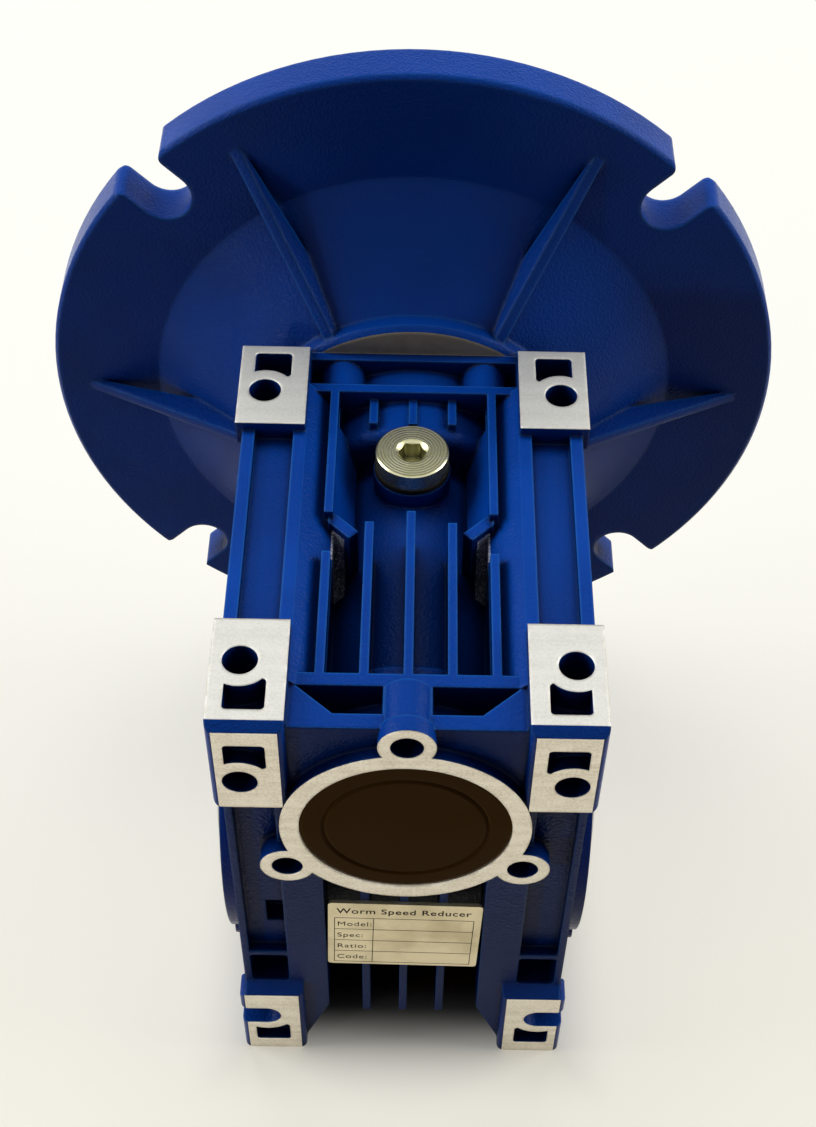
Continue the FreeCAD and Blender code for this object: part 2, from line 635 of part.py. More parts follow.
def foot_cuts():
    """The bolt holes of every pad, with the cored pockets beside them."""
    front = -HALF_LEN - CUT
    pocket_y = -HALF_LEN + FACE_POCKET_DEPTH
    hole_y = -HALF_LEN + FACE_HOLE_DEPTH
    upper = pad_pocket(AXIS_Y, front, pocket_y, FACE_HOLE_Z)
    lower = pad_pocket(AXIS_Y, front, pocket_y, -FACE_SLOT_Z).mirror(ORIGIN, AXIS_Z)
    ends = [pad_pocket(AXIS_Z, TOP_Z - PAD_DEPTH, TOP_Z + CUT, HOLE_Y),
            pad_pocket(AXIS_Z, BOTTOM_Z - CUT, BOTTOM_Z + PAD_DEPTH, HOLE_Y),
            cyl_z(HOLE_R, TOP_Z - HOLE_DEPTH, TOP_Z + CUT, HOLE_X, -HOLE_Y),
            cyl_z(FOOT_HOLE_R, BOTTOM_Z - CUT, BOTTOM_Z + HOLE_DEPTH, HOLE_X, -HOLE_Y)]
    face_hole = cyl_y(HOLE_R, front, hole_y, HOLE_X, FACE_HOLE_Z)
    slot_end = cyl_y(HOLE_R, front, hole_y, HOLE_X, FACE_SLOT_Z)
    slot = box(HOLE_X, PAD_OUT_X + CUT, front, hole_y, FACE_SLOT_Z - HOLE_R, FACE_SLOT_Z + HOLE_R)
    return mirrored_x(mirrored_y(ends) + [upper, lower, face_hole, slot_end, slot])


def make_housing():
    frame = fuse(side_walls() + [rear_plate()]).cut(leg_channels())
    solids = [frame] + pads() + bars_and_fins() + belly_fins() + rings_and_lugs()
    solids += output_boss(-CHAMBER_HALF_W, -BOSS_X, -SHAFT_HALF_LEN)
    solids.append(box(-WALL_OUT_X, WALL_OUT_X, HALF_LEN - FAR_BAR_T, HALF_LEN, RAIL_BOTTOM_Z, FIN_TOP_Z))
    solids.append(cyl_x(CHAMBER_R + CHAMBER_WALL, -WALL_IN_X, WALL_IN_X))
    solids.append(box(-WALL_IN_X, WALL_IN_X, PLATE_Y + CUT, HALF_LEN - CUT, WORM_Z - WEB_T, WORM_Z))
    solids.append(cyl_z(PLUG_HEAD_R + SPOT_GAP, WORM_Z, PLUG_BOSS_Z, 0, PLUG_Y))
    cuts = Part.makeCompound(bearing_seats() + screw_holes() + foot_cuts())
    return fuse(solids).cut(cuts).removeSplitter()


# Cover of the wheel chamber on the +X side

def countersunk(y, z, gap, length):
    """A countersunk screw in the boss face, or with a gap the hole that takes it."""
    head_h = COVER_SCREW_HEAD_R - COVER_SCREW_R
    shank = cyl_x(COVER_SCREW_R + gap, BOSS_X - length, BOSS_X - gap, y, z)
    head = Part.makeCone(COVER_SCREW_R + gap, COVER_SCREW_HEAD_R + gap, head_h,
                         Vector(BOSS_X - head_h, y, z), AXIS_X)
    return fuse([shank, head])


def make_side_cover():
    solids = output_boss(WALL_OUT_X, BOSS_X, SHAFT_HALF_LEN)
    solids.append(cyl_x(CHAMBER_R - FIT, CHAMBER_HALF_W, WALL_OUT_X))
    groove = cyl_x(CHAMBER_R + CUT, ORING_X, ORING_X + ORING_W)
    groove = groove.cut(cyl_x(CHAMBER_R - ORING_DEPTH, ORING_X, ORING_X + ORING_W))
    cuts = [cyl_x(WHEEL_SEAT_R + FIT, CHAMBER_HALF_W - CUT, BEARING_OUT_X),
            cyl_x(OUTPUT_SEAL_R + FIT, BEARING_OUT_X, SHAFT_HALF_LEN + CUT), groove]
    for degrees in DIAGONALS:
        y, z = polar(OUTPUT_PCD, degrees)
        cuts.append(cyl_x(OUTPUT_CLEAR_R, WALL_OUT_X, BOSS_X + CUT, y, z))
    for degrees in QUARTERS:
        y, z = polar(COVER_SCREW_PCD, degrees)
        cuts.append(countersunk(y, z, SCREW_GAP, COVER_SCREW_LEN).translated(AXIS_X * SCREW_GAP))
    return fuse(solids).cut(Part.makeCompound(cuts))


def make_cover_o_ring():
    """A sealing ring in the cover's groove, with eight flats around its section."""
    half = ORING_DEPTH / 2 - FIT
    flat = half * math.tan(math.pi / 8)
    centre_x = ORING_X + ORING_W / 2
    centre_r = CHAMBER_R - ORING_DEPTH / 2
    corners = [(half, flat), (flat, half), (-flat, half), (-half, flat),
               (-half, -flat), (-flat, -half), (flat, -half), (half, -flat)]
    return turned_x([(centre_x + across, centre_r + out) for across, out in corners])


def make_cover_screws():
    screws = []
    for degrees in QUARTERS:
        y, z = polar(COVER_SCREW_PCD, degrees)
        socket = prism_x(hexagon(COVER_SCREW_HEX, y, z), BOSS_X - COVER_SCREW_R, BOSS_X + CUT)
        screws.append(countersunk(y, z, 0.0, COVER_SCREW_LEN).cut(socket))
    return Part.makeCompound(screws)


# Worm shaft

def thread_half_width(radius):
    """Half the thread's thickness along the axis at a radius."""
    at_pitch = AXIAL_PITCH / 4 - BACKLASH_SIDE
    return at_pitch - (radius - WORM_PITCH_R) * math.tan(math.radians(PRESSURE_ANGLE))


def worm_thread():
    """One right-hand thread swept along its helix, ready to fuse with the shaft."""
    reach = WORM_THREAD_LEN / 2 + AXIAL_PITCH
    sunk_r = WORM_ROOT_R - TIP_CLEARANCE
    over_r = WORM_TIP_R + TIP_CLEARANCE
    low = thread_half_width(sunk_r)
    high = thread_half_width(over_r)
    profile = Part.makePolygon([Vector(sunk_r, 0, -low), Vector(over_r, 0, -high),
                                Vector(over_r, 0, high), Vector(sunk_r, 0, low),
                                Vector(sunk_r, 0, -low)])
    helix = Part.makeHelix(AXIAL_PITCH, 2 * reach, WORM_PITCH_R)
    thread = Part.Wire(helix.Edges).makePipeShell([profile], True, True)
    thread.translate(Vector(0, 0, -reach))
    thread.rotate(ORIGIN, AXIS_X, -90)
    # At y = 0 the thread must cross the lowest line of the worm, where the wheel is
    crossing = math.degrees(2 * math.pi * reach / AXIAL_PITCH)
    thread.rotate(ORIGIN, AXIS_Y, 90 - crossing)
    thread.translate(WORM_CENTRE)
    return thread


def make_worm_shaft():
    half = WORM_THREAD_LEN / 2
    journal_r = REAR_JOURNAL_R - FIT
    hub_r = INPUT_HUB_R - FIT
    shoulder_r = TUNNEL_BORE_R - CUT
    rear_shoulder_r = REAR_JOURNAL_R + 2 * CUT
    start_y = REAR_CLIP_Y + CUT
    neck_y = half + RAIL_STRIP
    outline = [(0, start_y), (journal_r - CHAMFER, start_y), (journal_r, start_y + CHAMFER),
               (journal_r, REAR_SHOULDER_Y), (rear_shoulder_r, REAR_SHOULDER_Y),
               (rear_shoulder_r, REAR_SHOULDER_Y + RAIL_STRIP), (WORM_ROOT_R, -neck_y),
               (WORM_ROOT_R, neck_y), (shoulder_r, INPUT_SHOULDER_Y - 2 * RAIL_STRIP),
               (shoulder_r, INPUT_SHOULDER_Y), (hub_r, INPUT_SHOULDER_Y),
               (hub_r, INPUT_HUB_END - CHAMFER), (hub_r - CHAMFER, INPUT_HUB_END), (0, INPUT_HUB_END)]
    envelope = turned_y([(0, -half), (WORM_ROOT_R, -half), (WORM_TIP_R, -half + THREAD_LEAD_IN),
                         (WORM_TIP_R, half - THREAD_LEAD_IN), (WORM_ROOT_R, half), (0, half)])
    shaft = turned_y(outline).fuse(worm_thread().common(envelope))
    bore_y = INPUT_HUB_END - INPUT_BORE_LEN
    bore = turned_y([(0, bore_y - INPUT_BORE_R / 2), (INPUT_BORE_R, bore_y),
                     (INPUT_BORE_R, INPUT_HUB_END - CHAMFER),
                     (INPUT_BORE_R + 2 * CHAMFER, INPUT_HUB_END + CHAMFER),
                     (0, INPUT_HUB_END + CHAMFER)])
    keyway = box(-INPUT_KEY_W / 2, INPUT_KEY_W / 2, bore_y, INPUT_HUB_END + CUT,
                 WORM_Z, WORM_Z + INPUT_BORE_R + INPUT_KEY_DEPTH)
    return shaft.cut([bore, keyway])


# Worm wheel: a bronze rim on a hollow hub

def tooth_gap_cutter():
    """The gap between two teeth: its profile turned about the worm axis and tilted."""
    stations = ((GAP_ROOT_R, GAP_ROOT_CLEAR), (WORM_PITCH_R, GAP_PITCH_CLEAR),
                (WORM_Z - WHEEL_TIP_R - GAP_MOUTH_OVER, GAP_MOUTH_CLEAR))
    flanks = []
    for side in (-1, 1):
        flanks.append([Vector(0, side * (thread_half_width(radius) + clear), WORM_Z - radius)
                       for radius, clear in stations])
    left, right = [Part.Arc(*flank).toShape() for flank in flanks]
    root = Part.makeLine(flanks[0][0], flanks[1][0])
    mouth = Part.makeLine(flanks[0][2], flanks[1][2])
    face = Part.Face(Part.Wire(Part.__sortEdges__([left, root, right, mouth])))
    face.rotate(WORM_CENTRE, AXIS_Y, -GAP_SWEEP / 2)
    cutter = face.revolve(WORM_CENTRE, AXIS_Y, GAP_SWEEP)
    cutter.rotate(ORIGIN, AXIS_Z, -LEAD_ANGLE)
    return cutter


def make_wheel_rim():
    half = WHEEL_FACE / 2
    throat = WORM_Z - WHEEL_THROAT_R
    throat_x = math.sqrt(throat ** 2 - (WORM_Z - WHEEL_TIP_R) ** 2)
    shoulder_r = WHEEL_THROAT_R - WHEEL_TIP_EXTRA
    side = [Vector(half, 0, RIM_BORE_R), Vector(half, 0, shoulder_r),
            Vector(half - WHEEL_EDGE, 0, WHEEL_TIP_R), Vector(throat_x, 0, WHEEL_TIP_R)]
    other = [Vector(-point.x, 0, point.z) for point in reversed(side)]
    dip = Part.Arc(side[-1], Vector(0, 0, WHEEL_THROAT_R), other[0]).toShape()
    edges = Part.makePolygon(side).Edges + [dip] + Part.makePolygon(other).Edges
    edges.append(Part.makeLine(other[-1], side[0]))
    blank = Part.Face(Part.Wire(edges)).revolve(ORIGIN, AXIS_X, 360)
    gaps = []
    for tooth in range(WHEEL_TEETH):
        gap = tooth_gap_cutter()
        gap.rotate(ORIGIN, AXIS_X, 360.0 * tooth / WHEEL_TEETH)
        gaps.append(gap)
    return blank.cut(gaps)


def make_wheel_hub():
    disc = HUB_DISC / 2
    shaft_r = HUB_R - FIT
    shoulder_r = HUB_R + HUB_SHOULDER
    end = [(disc, RIM_BORE_R - FIT), (disc, shoulder_r), (BEARING_IN_X, shoulder_r),
           (BEARING_IN_X, shaft_r), (SHAFT_HALF_LEN - CHAMFER, shaft_r),
           (SHAFT_HALF_LEN, shaft_r - CHAMFER), (SHAFT_HALF_LEN, 0)]
    hub = turned_x([(-x, radius) for x, radius in reversed(end)] + end)
    over = SHAFT_HALF_LEN + CUT
    keyway = box(-over, over, -OUTPUT_KEY_W / 2, OUTPUT_KEY_W / 2, 0, OUTPUT_BORE_R + OUTPUT_KEY_DEPTH)
    return hub.cut(fuse([cyl_x(OUTPUT_BORE_R, -over, over), keyway]))


# Ball bearings, drawn along Z from z = 0 and then placed

def bearing_parts(bore_r, outer_r, width, count):
    """The outer ring, inner ring and ball set of a deep-groove bearing."""
    ball_r = BALL_SHARE * (outer_r - bore_r)
    pitch_r = (bore_r + outer_r) / 2
    land = ball_r * BEARING_LAND
    middle = Vector(0, 0, width / 2)
    groove = Part.makeTorus(pitch_r, ball_r + RUNNING, middle, AXIS_Z)
    outer = Part.makeCylinder(outer_r, width).cut(Part.makeCylinder(pitch_r + land, width))
    inner = Part.makeCylinder(pitch_r - land, width).cut(Part.makeCylinder(bore_r, width))
    balls = []
    for k in range(count):
        x, y = polar(2 * pitch_r, 360.0 * k / count)
        balls.append(Part.makeSphere(ball_r, Vector(x, y, 0) + middle))
    return outer.cut(groove), inner.cut(groove), Part.makeCompound(balls)


def save_bearing(name, place, at, *sizes):
    for part, shape in zip(("outer_ring", "inner_ring", "balls"), bearing_parts(*sizes)):
        save(place(shape, at), name + "_bearing_" + part)


# Seals, clips and cap

def lip_seal(bore_r, outer_r, width):
    """A shaft seal along Z: its closed face is at z = width and its lip leans inwards."""
    lip_r = bore_r + RUNNING
    outline = [(outer_r, 0), (outer_r, width), (lip_r + CUT, width),
               (lip_r, width - CHAMFER), (lip_r, width - SEAL_WALL),
               (lip_r + CUT, width - SEAL_WALL), (outer_r - SEAL_WALL, width - SEAL_WALL),
               (outer_r - SEAL_WALL, 0)]
    return turned_z(outline)


def internal_circlip(bore_r):
    """A ring that springs into a groove, open at the bottom, with two eyed ears."""
    outer_r = bore_r + CIRCLIP_BITE
    ring = Part.makeCylinder(outer_r, CIRCLIP_T).cut(Part.makeCylinder(outer_r - CIRCLIP_WIDTH, CIRCLIP_T))
    ear_r = outer_r - CIRCLIP_WIDTH - CUT / 2
    ear_y = -math.sqrt(ear_r ** 2 - CIRCLIP_EAR_X ** 2)
    mouth = CIRCLIP_EAR_X - CIRCLIP_EAR_R / 2
    ring = ring.cut(box(-mouth, mouth, -outer_r - CUT, 0, 0, CIRCLIP_T))
    ears = [cyl_z(CIRCLIP_EAR_R, 0, CIRCLIP_T, side * CIRCLIP_EAR_X, ear_y) for side in (-1, 1)]
    eyes = [cyl_z(CIRCLIP_EYE_R, 0, CIRCLIP_T, side * CIRCLIP_EAR_X, ear_y) for side in (-1, 1)]
    return fuse([ring] + ears).cut(eyes)


def make_end_cap():
    """The rubber-covered cap pressed into the rear bore, with a shallow moulded ring."""
    outer_r = REAR_SEAT_R - FIT
    back_y = CAP_OUT_Y + CAP_SKIN
    edge = CHAMFER
    return turned_y([(0, CAP_OUT_Y), (CAP_RING_R - edge, CAP_OUT_Y), (CAP_RING_R, CAP_OUT_Y + edge),
                     (CAP_RING_R + edge, CAP_OUT_Y), (outer_r - edge, CAP_OUT_Y),
                     (outer_r, CAP_OUT_Y + edge), (outer_r, CAP_IN_Y),
                     (outer_r - SEAL_WALL, CAP_IN_Y), (outer_r - SEAL_WALL, back_y), (0, back_y)])


# Filler plug, its washer and the nameplate

def make_filler_plug():
    seat_z = PLUG_BOSS_Z + WASHER_T
    top_z = seat_z + PLUG_HEAD_H
    low_z = seat_z - PLUG_SHANK_LEN
    plug = turned_z([(0, top_z), (PLUG_HEAD_R - PLUG_EDGE, top_z), (PLUG_HEAD_R, top_z - PLUG_EDGE),
                     (PLUG_HEAD_R, seat_z), (PLUG_SHANK_R, seat_z), (PLUG_SHANK_R, low_z + CHAMFER),
                     (PLUG_SHANK_R - CHAMFER, low_z), (0, low_z)])
    lead_in = Part.makeCone(PLUG_HEX / 2, PLUG_HEX / 2 + PLUG_LEAD, CHAMFER,
                            Vector(0, 0, top_z - CHAMFER), AXIS_Z)
    socket = prism_z(hexagon(PLUG_HEX), top_z - PLUG_HEX_DEPTH, top_z + CUT)
    return plug.cut([socket, lead_in]).translated(AXIS_Y * PLUG_Y)


def make_plug_washer():
    top_z = PLUG_BOSS_Z + WASHER_T
    ring = cyl_z(PLUG_HEAD_R + WASHER_EDGE, PLUG_BOSS_Z, top_z, 0, PLUG_Y)
    return ring.cut(cyl_z(PLUG_SHANK_R + SCREW_GAP, PLUG_BOSS_Z, top_z, 0, PLUG_Y))


def make_nameplate():
    back_y = -HALF_LEN + BELLY_FIN_END
    plate = box(-PLATE_W / 2, PLATE_W / 2, back_y - LABEL_T, back_y,
                LABEL_Z - PLATE_H / 2, LABEL_Z + PLATE_H / 2)
    plate = rounded(plate, LABEL_CORNER_R, AXIS_Y)
    plate.rotate(Vector(0, 0, LABEL_Z), AXIS_Y, -LABEL_TURN)
    return plate


# Motor flange

def flange_rib(degrees):
    """A tapered gusset from the neck out to the plate."""
    stations = ((NECK_R - SLOT_LIP_R, HALF_LEN + FLANGE_EDGE, RIB_ROOT_DEPTH, RIB_ROOT_W / 2),
                (RIB_TIP_R, FLANGE_NEAR_Y - END_GAP, FLANGE_EDGE, RIB_CREST_W / 2 + SEAL_GAP))
    sections = []
    for radius, crest_y, depth, deep_half in stations:
        crest_half = RIB_CREST_W / 2
        corners = [(crest_y, -crest_half), (crest_y, crest_half),
                   (crest_y + depth, deep_half), (crest_y + depth, -deep_half)]
        points = [Vector(radius, y, WORM_Z + across) for y, across in corners]
        sections.append(Part.makePolygon(points + [points[0]]))
    rib = Part.makeLoft(sections, True, True)
    rib.rotate(WORM_CENTRE, AXIS_Y, -degrees)
    return rib


def flange_slot(degrees):
    """An open U slot with rounded lips, cut through the plate."""
    near_y, far_y = FLANGE_NEAR_Y - CUT, MOTOR_FACE_Y + CUT
    mouth = FLANGE_R + SLOT_LIP_R
    lip_z = SLOT_HALF_W + SLOT_LIP_R
    lip_x = math.sqrt((FLANGE_R - SLOT_LIP_R) ** 2 - lip_z ** 2)
    slot = [cyl_y(SLOT_HALF_W, near_y, far_y, SLOT_CENTRE_R),
            box(SLOT_CENTRE_R, mouth, near_y, far_y, WORM_Z - SLOT_HALF_W, WORM_Z + SLOT_HALF_W)]
    flare = box(lip_x, mouth, near_y, far_y, WORM_Z - lip_z, WORM_Z + lip_z)
    lips = [cyl_y(SLOT_LIP_R, near_y, far_y, lip_x, WORM_Z + side * lip_z) for side in (-1, 1)]
    cutter = fuse(slot + [flare.cut(lips)])
    cutter.rotate(WORM_CENTRE, AXIS_Y, -degrees)
    return cutter


def make_motor_flange():
    floor_r = NECK_R + FLANGE_EDGE
    wall_r = CONE_R - FLANGE_WALL
    register_y = MOTOR_FACE_Y - REGISTER_DEPTH
    outside = [(MATING_R, HALF_LEN), (NECK_R, HALF_LEN + FLANGE_STEP), (NECK_R, HALF_LEN + NECK_LEN),
               (CONE_R, FLANGE_NEAR_Y), (FLANGE_R - FLANGE_EDGE, FLANGE_NEAR_Y),
               (FLANGE_R, FLANGE_NEAR_Y + FLANGE_EDGE), (FLANGE_R, MOTOR_FACE_Y - FLANGE_EDGE),
               (FLANGE_R - FLANGE_EDGE, MOTOR_FACE_Y), (0, MOTOR_FACE_Y), (0, HALF_LEN)]
    bell = turned_y([(0, FLANGE_SEAT_Y), (floor_r, FLANGE_SEAT_Y), (wall_r, FLANGE_NEAR_Y),
                     (wall_r, register_y), (REGISTER_R, register_y),
                     (REGISTER_R, MOTOR_FACE_Y + CUT), (0, MOTOR_FACE_Y + CUT)])
    ribs = [flange_rib(360.0 * k / RIB_COUNT) for k in range(RIB_COUNT)]
    cuts = [bell, cyl_y(FLANGE_HOLE_R, HALF_LEN - CUT, FLANGE_SEAT_Y + CUT)]
    for k in range(SLOT_COUNT):
        cuts.append(flange_slot(360.0 * (k + 0.5) / SLOT_COUNT))
    for degrees in FLANGE_SCREW_ANGLES:
        x, z = around_worm(FLANGE_SCREW_PCD, degrees)
        cuts.append(cyl_y(FLANGE_SCREW_R + FLANGE_SCREW_GAP, HALF_LEN - CUT, FLANGE_SEAT_Y + CUT, x, z))
    return fuse([turned_y(outside)] + ribs).cut(cuts)


def make_flange_screws():
    """The four socket screws that hold the flange from inside its bell."""
    head_y = FLANGE_SEAT_Y + FLANGE_SCREW_HEAD_H
    screws = []
    for degrees in FLANGE_SCREW_ANGLES:
        x, z = around_worm(FLANGE_SCREW_PCD, degrees)
        shank = cyl_y(FLANGE_SCREW_R, FLANGE_SEAT_Y - FLANGE_SCREW_LEN, head_y - CUT, x, z)
        head = cyl_y(FLANGE_SCREW_HEAD_R, FLANGE_SEAT_Y, head_y, x, z)
        socket = prism_y(hexagon(FLANGE_SCREW_HEX, x, z), FLANGE_SEAT_Y + FLANGE_SCREW_R, head_y + CUT)
        screws.append(fuse([shank, head]).cut(socket))
    return Part.makeCompound(screws)


os.makedirs("parts", exist_ok=True)

save(make_housing(), "housing")
save(make_side_cover(), "side_cover")
save(make_cover_o_ring(), "cover_o_ring")
save(make_cover_screws(), "cover_screws")
save(make_worm_shaft(), "worm_shaft")
save(make_wheel_rim(), "wheel_rim")
save(make_wheel_hub(), "wheel_hub")
save_bearing("worm_rear", along_y, REAR_BEARING_Y,
             REAR_JOURNAL_R, REAR_SEAT_R, REAR_BEARING_W, REAR_BALLS)
save_bearing("worm_input", along_y, INPUT_SHOULDER_Y,
             INPUT_HUB_R, INPUT_SEAT_R, INPUT_BEARING_W, INPUT_BALLS)
save_bearing("wheel_left", along_x, -BEARING_OUT_X,
             HUB_R, WHEEL_SEAT_R, WHEEL_BEARING_W, WHEEL_BALLS)
save_bearing("wheel_right", along_x, BEARING_IN_X,
             HUB_R, WHEEL_SEAT_R, WHEEL_BEARING_W, WHEEL_BALLS)
output_seal = along_x(lip_seal(HUB_R, OUTPUT_SEAL_R, OUTPUT_SEAL_W), SEAL_IN_X)
save(output_seal, "output_seal_right")
save(output_seal.mirror(ORIGIN, AXIS_X), "output_seal_left")
save(along_y(lip_seal(INPUT_HUB_R, INPUT_SEAT_R, INPUT_SEAL_W), INPUT_SEAL_Y), "input_seal")
save(along_y(internal_circlip(REAR_SEAT_R), REAR_CLIP_Y), "rear_circlip")
save(along_y(internal_circlip(INPUT_SEAT_R), INPUT_CLIP_Y), "input_circlip")
save(make_end_cap(), "rear_end_cap")
save(make_filler_plug(), "filler_plug")
save(make_plug_washer(), "plug_washer")
save(make_nameplate(), "nameplate")
save(make_motor_flange(), "motor_flange")
save(make_flange_screws(), "flange_screws")
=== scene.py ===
# %% [markdown]
# A worm gear reducer, seen from its rear end and from above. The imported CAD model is
# the frame: the housing, the motor flange, the gears and the bearings come from it with
# their real sizes, and this script gives each of them its finish. Two things that are too
# fine for the CAD are made here: the print on the nameplate and the threads in the tapped
# holes of the left face.

# %% Load the frame
import math

import bmesh
import bpy
from mathutils import Euler, Matrix, Vector


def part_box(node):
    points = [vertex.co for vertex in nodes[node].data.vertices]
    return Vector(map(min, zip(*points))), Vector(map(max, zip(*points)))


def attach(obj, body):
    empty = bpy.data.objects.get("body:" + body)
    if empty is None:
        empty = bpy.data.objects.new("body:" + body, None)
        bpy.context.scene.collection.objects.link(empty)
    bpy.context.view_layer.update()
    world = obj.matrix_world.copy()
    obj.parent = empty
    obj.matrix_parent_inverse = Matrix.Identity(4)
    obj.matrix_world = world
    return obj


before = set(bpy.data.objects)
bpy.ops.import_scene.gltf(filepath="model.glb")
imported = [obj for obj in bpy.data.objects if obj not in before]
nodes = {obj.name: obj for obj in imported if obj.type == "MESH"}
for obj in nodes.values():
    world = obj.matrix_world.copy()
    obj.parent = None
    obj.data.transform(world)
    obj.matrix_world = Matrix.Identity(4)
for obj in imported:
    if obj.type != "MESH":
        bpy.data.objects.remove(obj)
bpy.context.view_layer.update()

MM = 0.001

# %% [markdown]
# The finishes follow the machining: a surface is bare metal where a cutter has faced the
# casting, and painted elsewhere. So the places of the machined planes are named once
# here. They are read from the frame's own boxes where a box has them.

# %% Places on the object
HOUSING_LOW, HOUSING_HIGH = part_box("housing")
FLANGE_LOW, FLANGE_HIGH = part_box("motor_flange")
TOP_Z = HOUSING_HIGH[2]
FOOT_Z = HOUSING_LOW[2]
REAR_Y = HOUSING_LOW[1]
MATING_Y = HOUSING_HIGH[1]
MOTOR_Y = FLANGE_HIGH[1]
WORM_Z = (FLANGE_LOW[2] + FLANGE_HIGH[2]) / 2
SPIGOT_R, SPIGOT_STEP = 30.0 * MM, 1.5 * MM
BOSS_X = -HOUSING_LOW[0] - SPIGOT_STEP
SPIGOT_BAND = MM
COVER_SEAT_X = 33.9 * MM
REAR_BORE_R, REAR_BORE_DEPTH = 21.4 * MM, 9 * MM
REGISTER_R, REGISTER_DEPTH = 57.15 * MM, 4.05 * MM
BELL_FLOOR_R = 20.1 * MM
PIT_X, PIT_Y, PIT_TOP = (12.9 * MM, 15.4 * MM), (-4.0 * MM, 6.0 * MM), 65.0 * MM
PIT_FADE = (42.0 * MM, 50.0 * MM)
SKIN = 0.05 * MM
print("worm axis at", round(WORM_Z / MM, 2), "mm, flange radius", round(FLANGE_HIGH[0] / MM, 2))

# %% [markdown]
# Shader maths reads better as plain expressions. `Field` wraps one socket of a node tree,
# and `a * b + 0.5` then adds the Math nodes that compute it. Any other node comes from
# the one method `Wiring.node`, in the materials, the world and the geometry alike.

# %% A small language for node trees
SHADING_RAYS = 6
EDGE_TURN = (0.02, 0.25)
MIX_INPUTS, MIX_RESULT = (0, 6, 7), 2


class Field:
    """A value in a node tree that can be added, multiplied and compared."""

    def __init__(self, wiring, socket):
        self.wiring, self.socket = wiring, socket

    def _math(self, operation, *others):
        made = self.wiring.node("ShaderNodeMath", {"operation": operation}, *others)
        return Field(self.wiring, made.outputs[0])

    def __add__(self, other):
        return self._math("ADD", self, other)

    def __mul__(self, other):
        return self._math("MULTIPLY", self, other)

    def __sub__(self, other):
        return self._math("SUBTRACT", self, other)

    def __rsub__(self, other):
        return self._math("SUBTRACT", other, self)

    def __gt__(self, other):
        return self._math("GREATER_THAN", self, other)

    def __lt__(self, other):
        return self._math("LESS_THAN", self, other)

    def __or__(self, other):
        return self._math("MAXIMUM", self, other)

    def __pow__(self, other):
        return self._math("POWER", self, other)

    __radd__ = __add__
    __rmul__ = __mul__

    def size(self):
        return self._math("ABSOLUTE", self)

    def sine(self):
        return self._math("SINE", self)

    def ramp(self, low, high):
        """0 below low, 1 above high and smooth between them."""
        settings = {"interpolation_type": "SMOOTHSTEP"}
        made = self.wiring.node("ShaderNodeMapRange", settings, self, low, high)
        return Field(self.wiring, made.outputs[0])


class Wiring:
    """A node tree under construction."""

    def __init__(self, tree):
        self.tree = tree

    def node(self, kind, settings=None, *values, **named):
        """Add a node, set its settings first, then its sockets by order or by name."""
        made = self.tree.nodes.new(kind)
        for key, value in (settings or {}).items():
            setattr(made, key, value)
        for key, value in list(enumerate(values)) + list(named.items()):
            if isinstance(key, str):
                key = key.replace("_", " ")
            self.link(value, made.inputs[key])
        return made

    def link(self, value, socket):
        if isinstance(value, Field):
            value = value.socket
        if isinstance(value, bpy.types.NodeSocket):
            self.tree.links.new(value, socket)
        elif value is not None:
            socket.default_value = value


class Shader(Wiring):
    """The shader of a material or of a world, empty but for its output."""

    def __init__(self, owner, output):
        owner.use_nodes = True
        super().__init__(owner.node_tree)
        self.tree.nodes.clear()
        self.out = self.node(output).inputs[0]

    def seen_ray(self):
        """1 for a ray that shows the surface to the eye, straight or in a shiny piece."""
        path = self.node("ShaderNodeLightPath").outputs
        seen = Field(self, path["Is Camera Ray"]) | Field(self, path["Is Glossy Ray"])
        return seen | Field(self, path["Is Transmission Ray"])


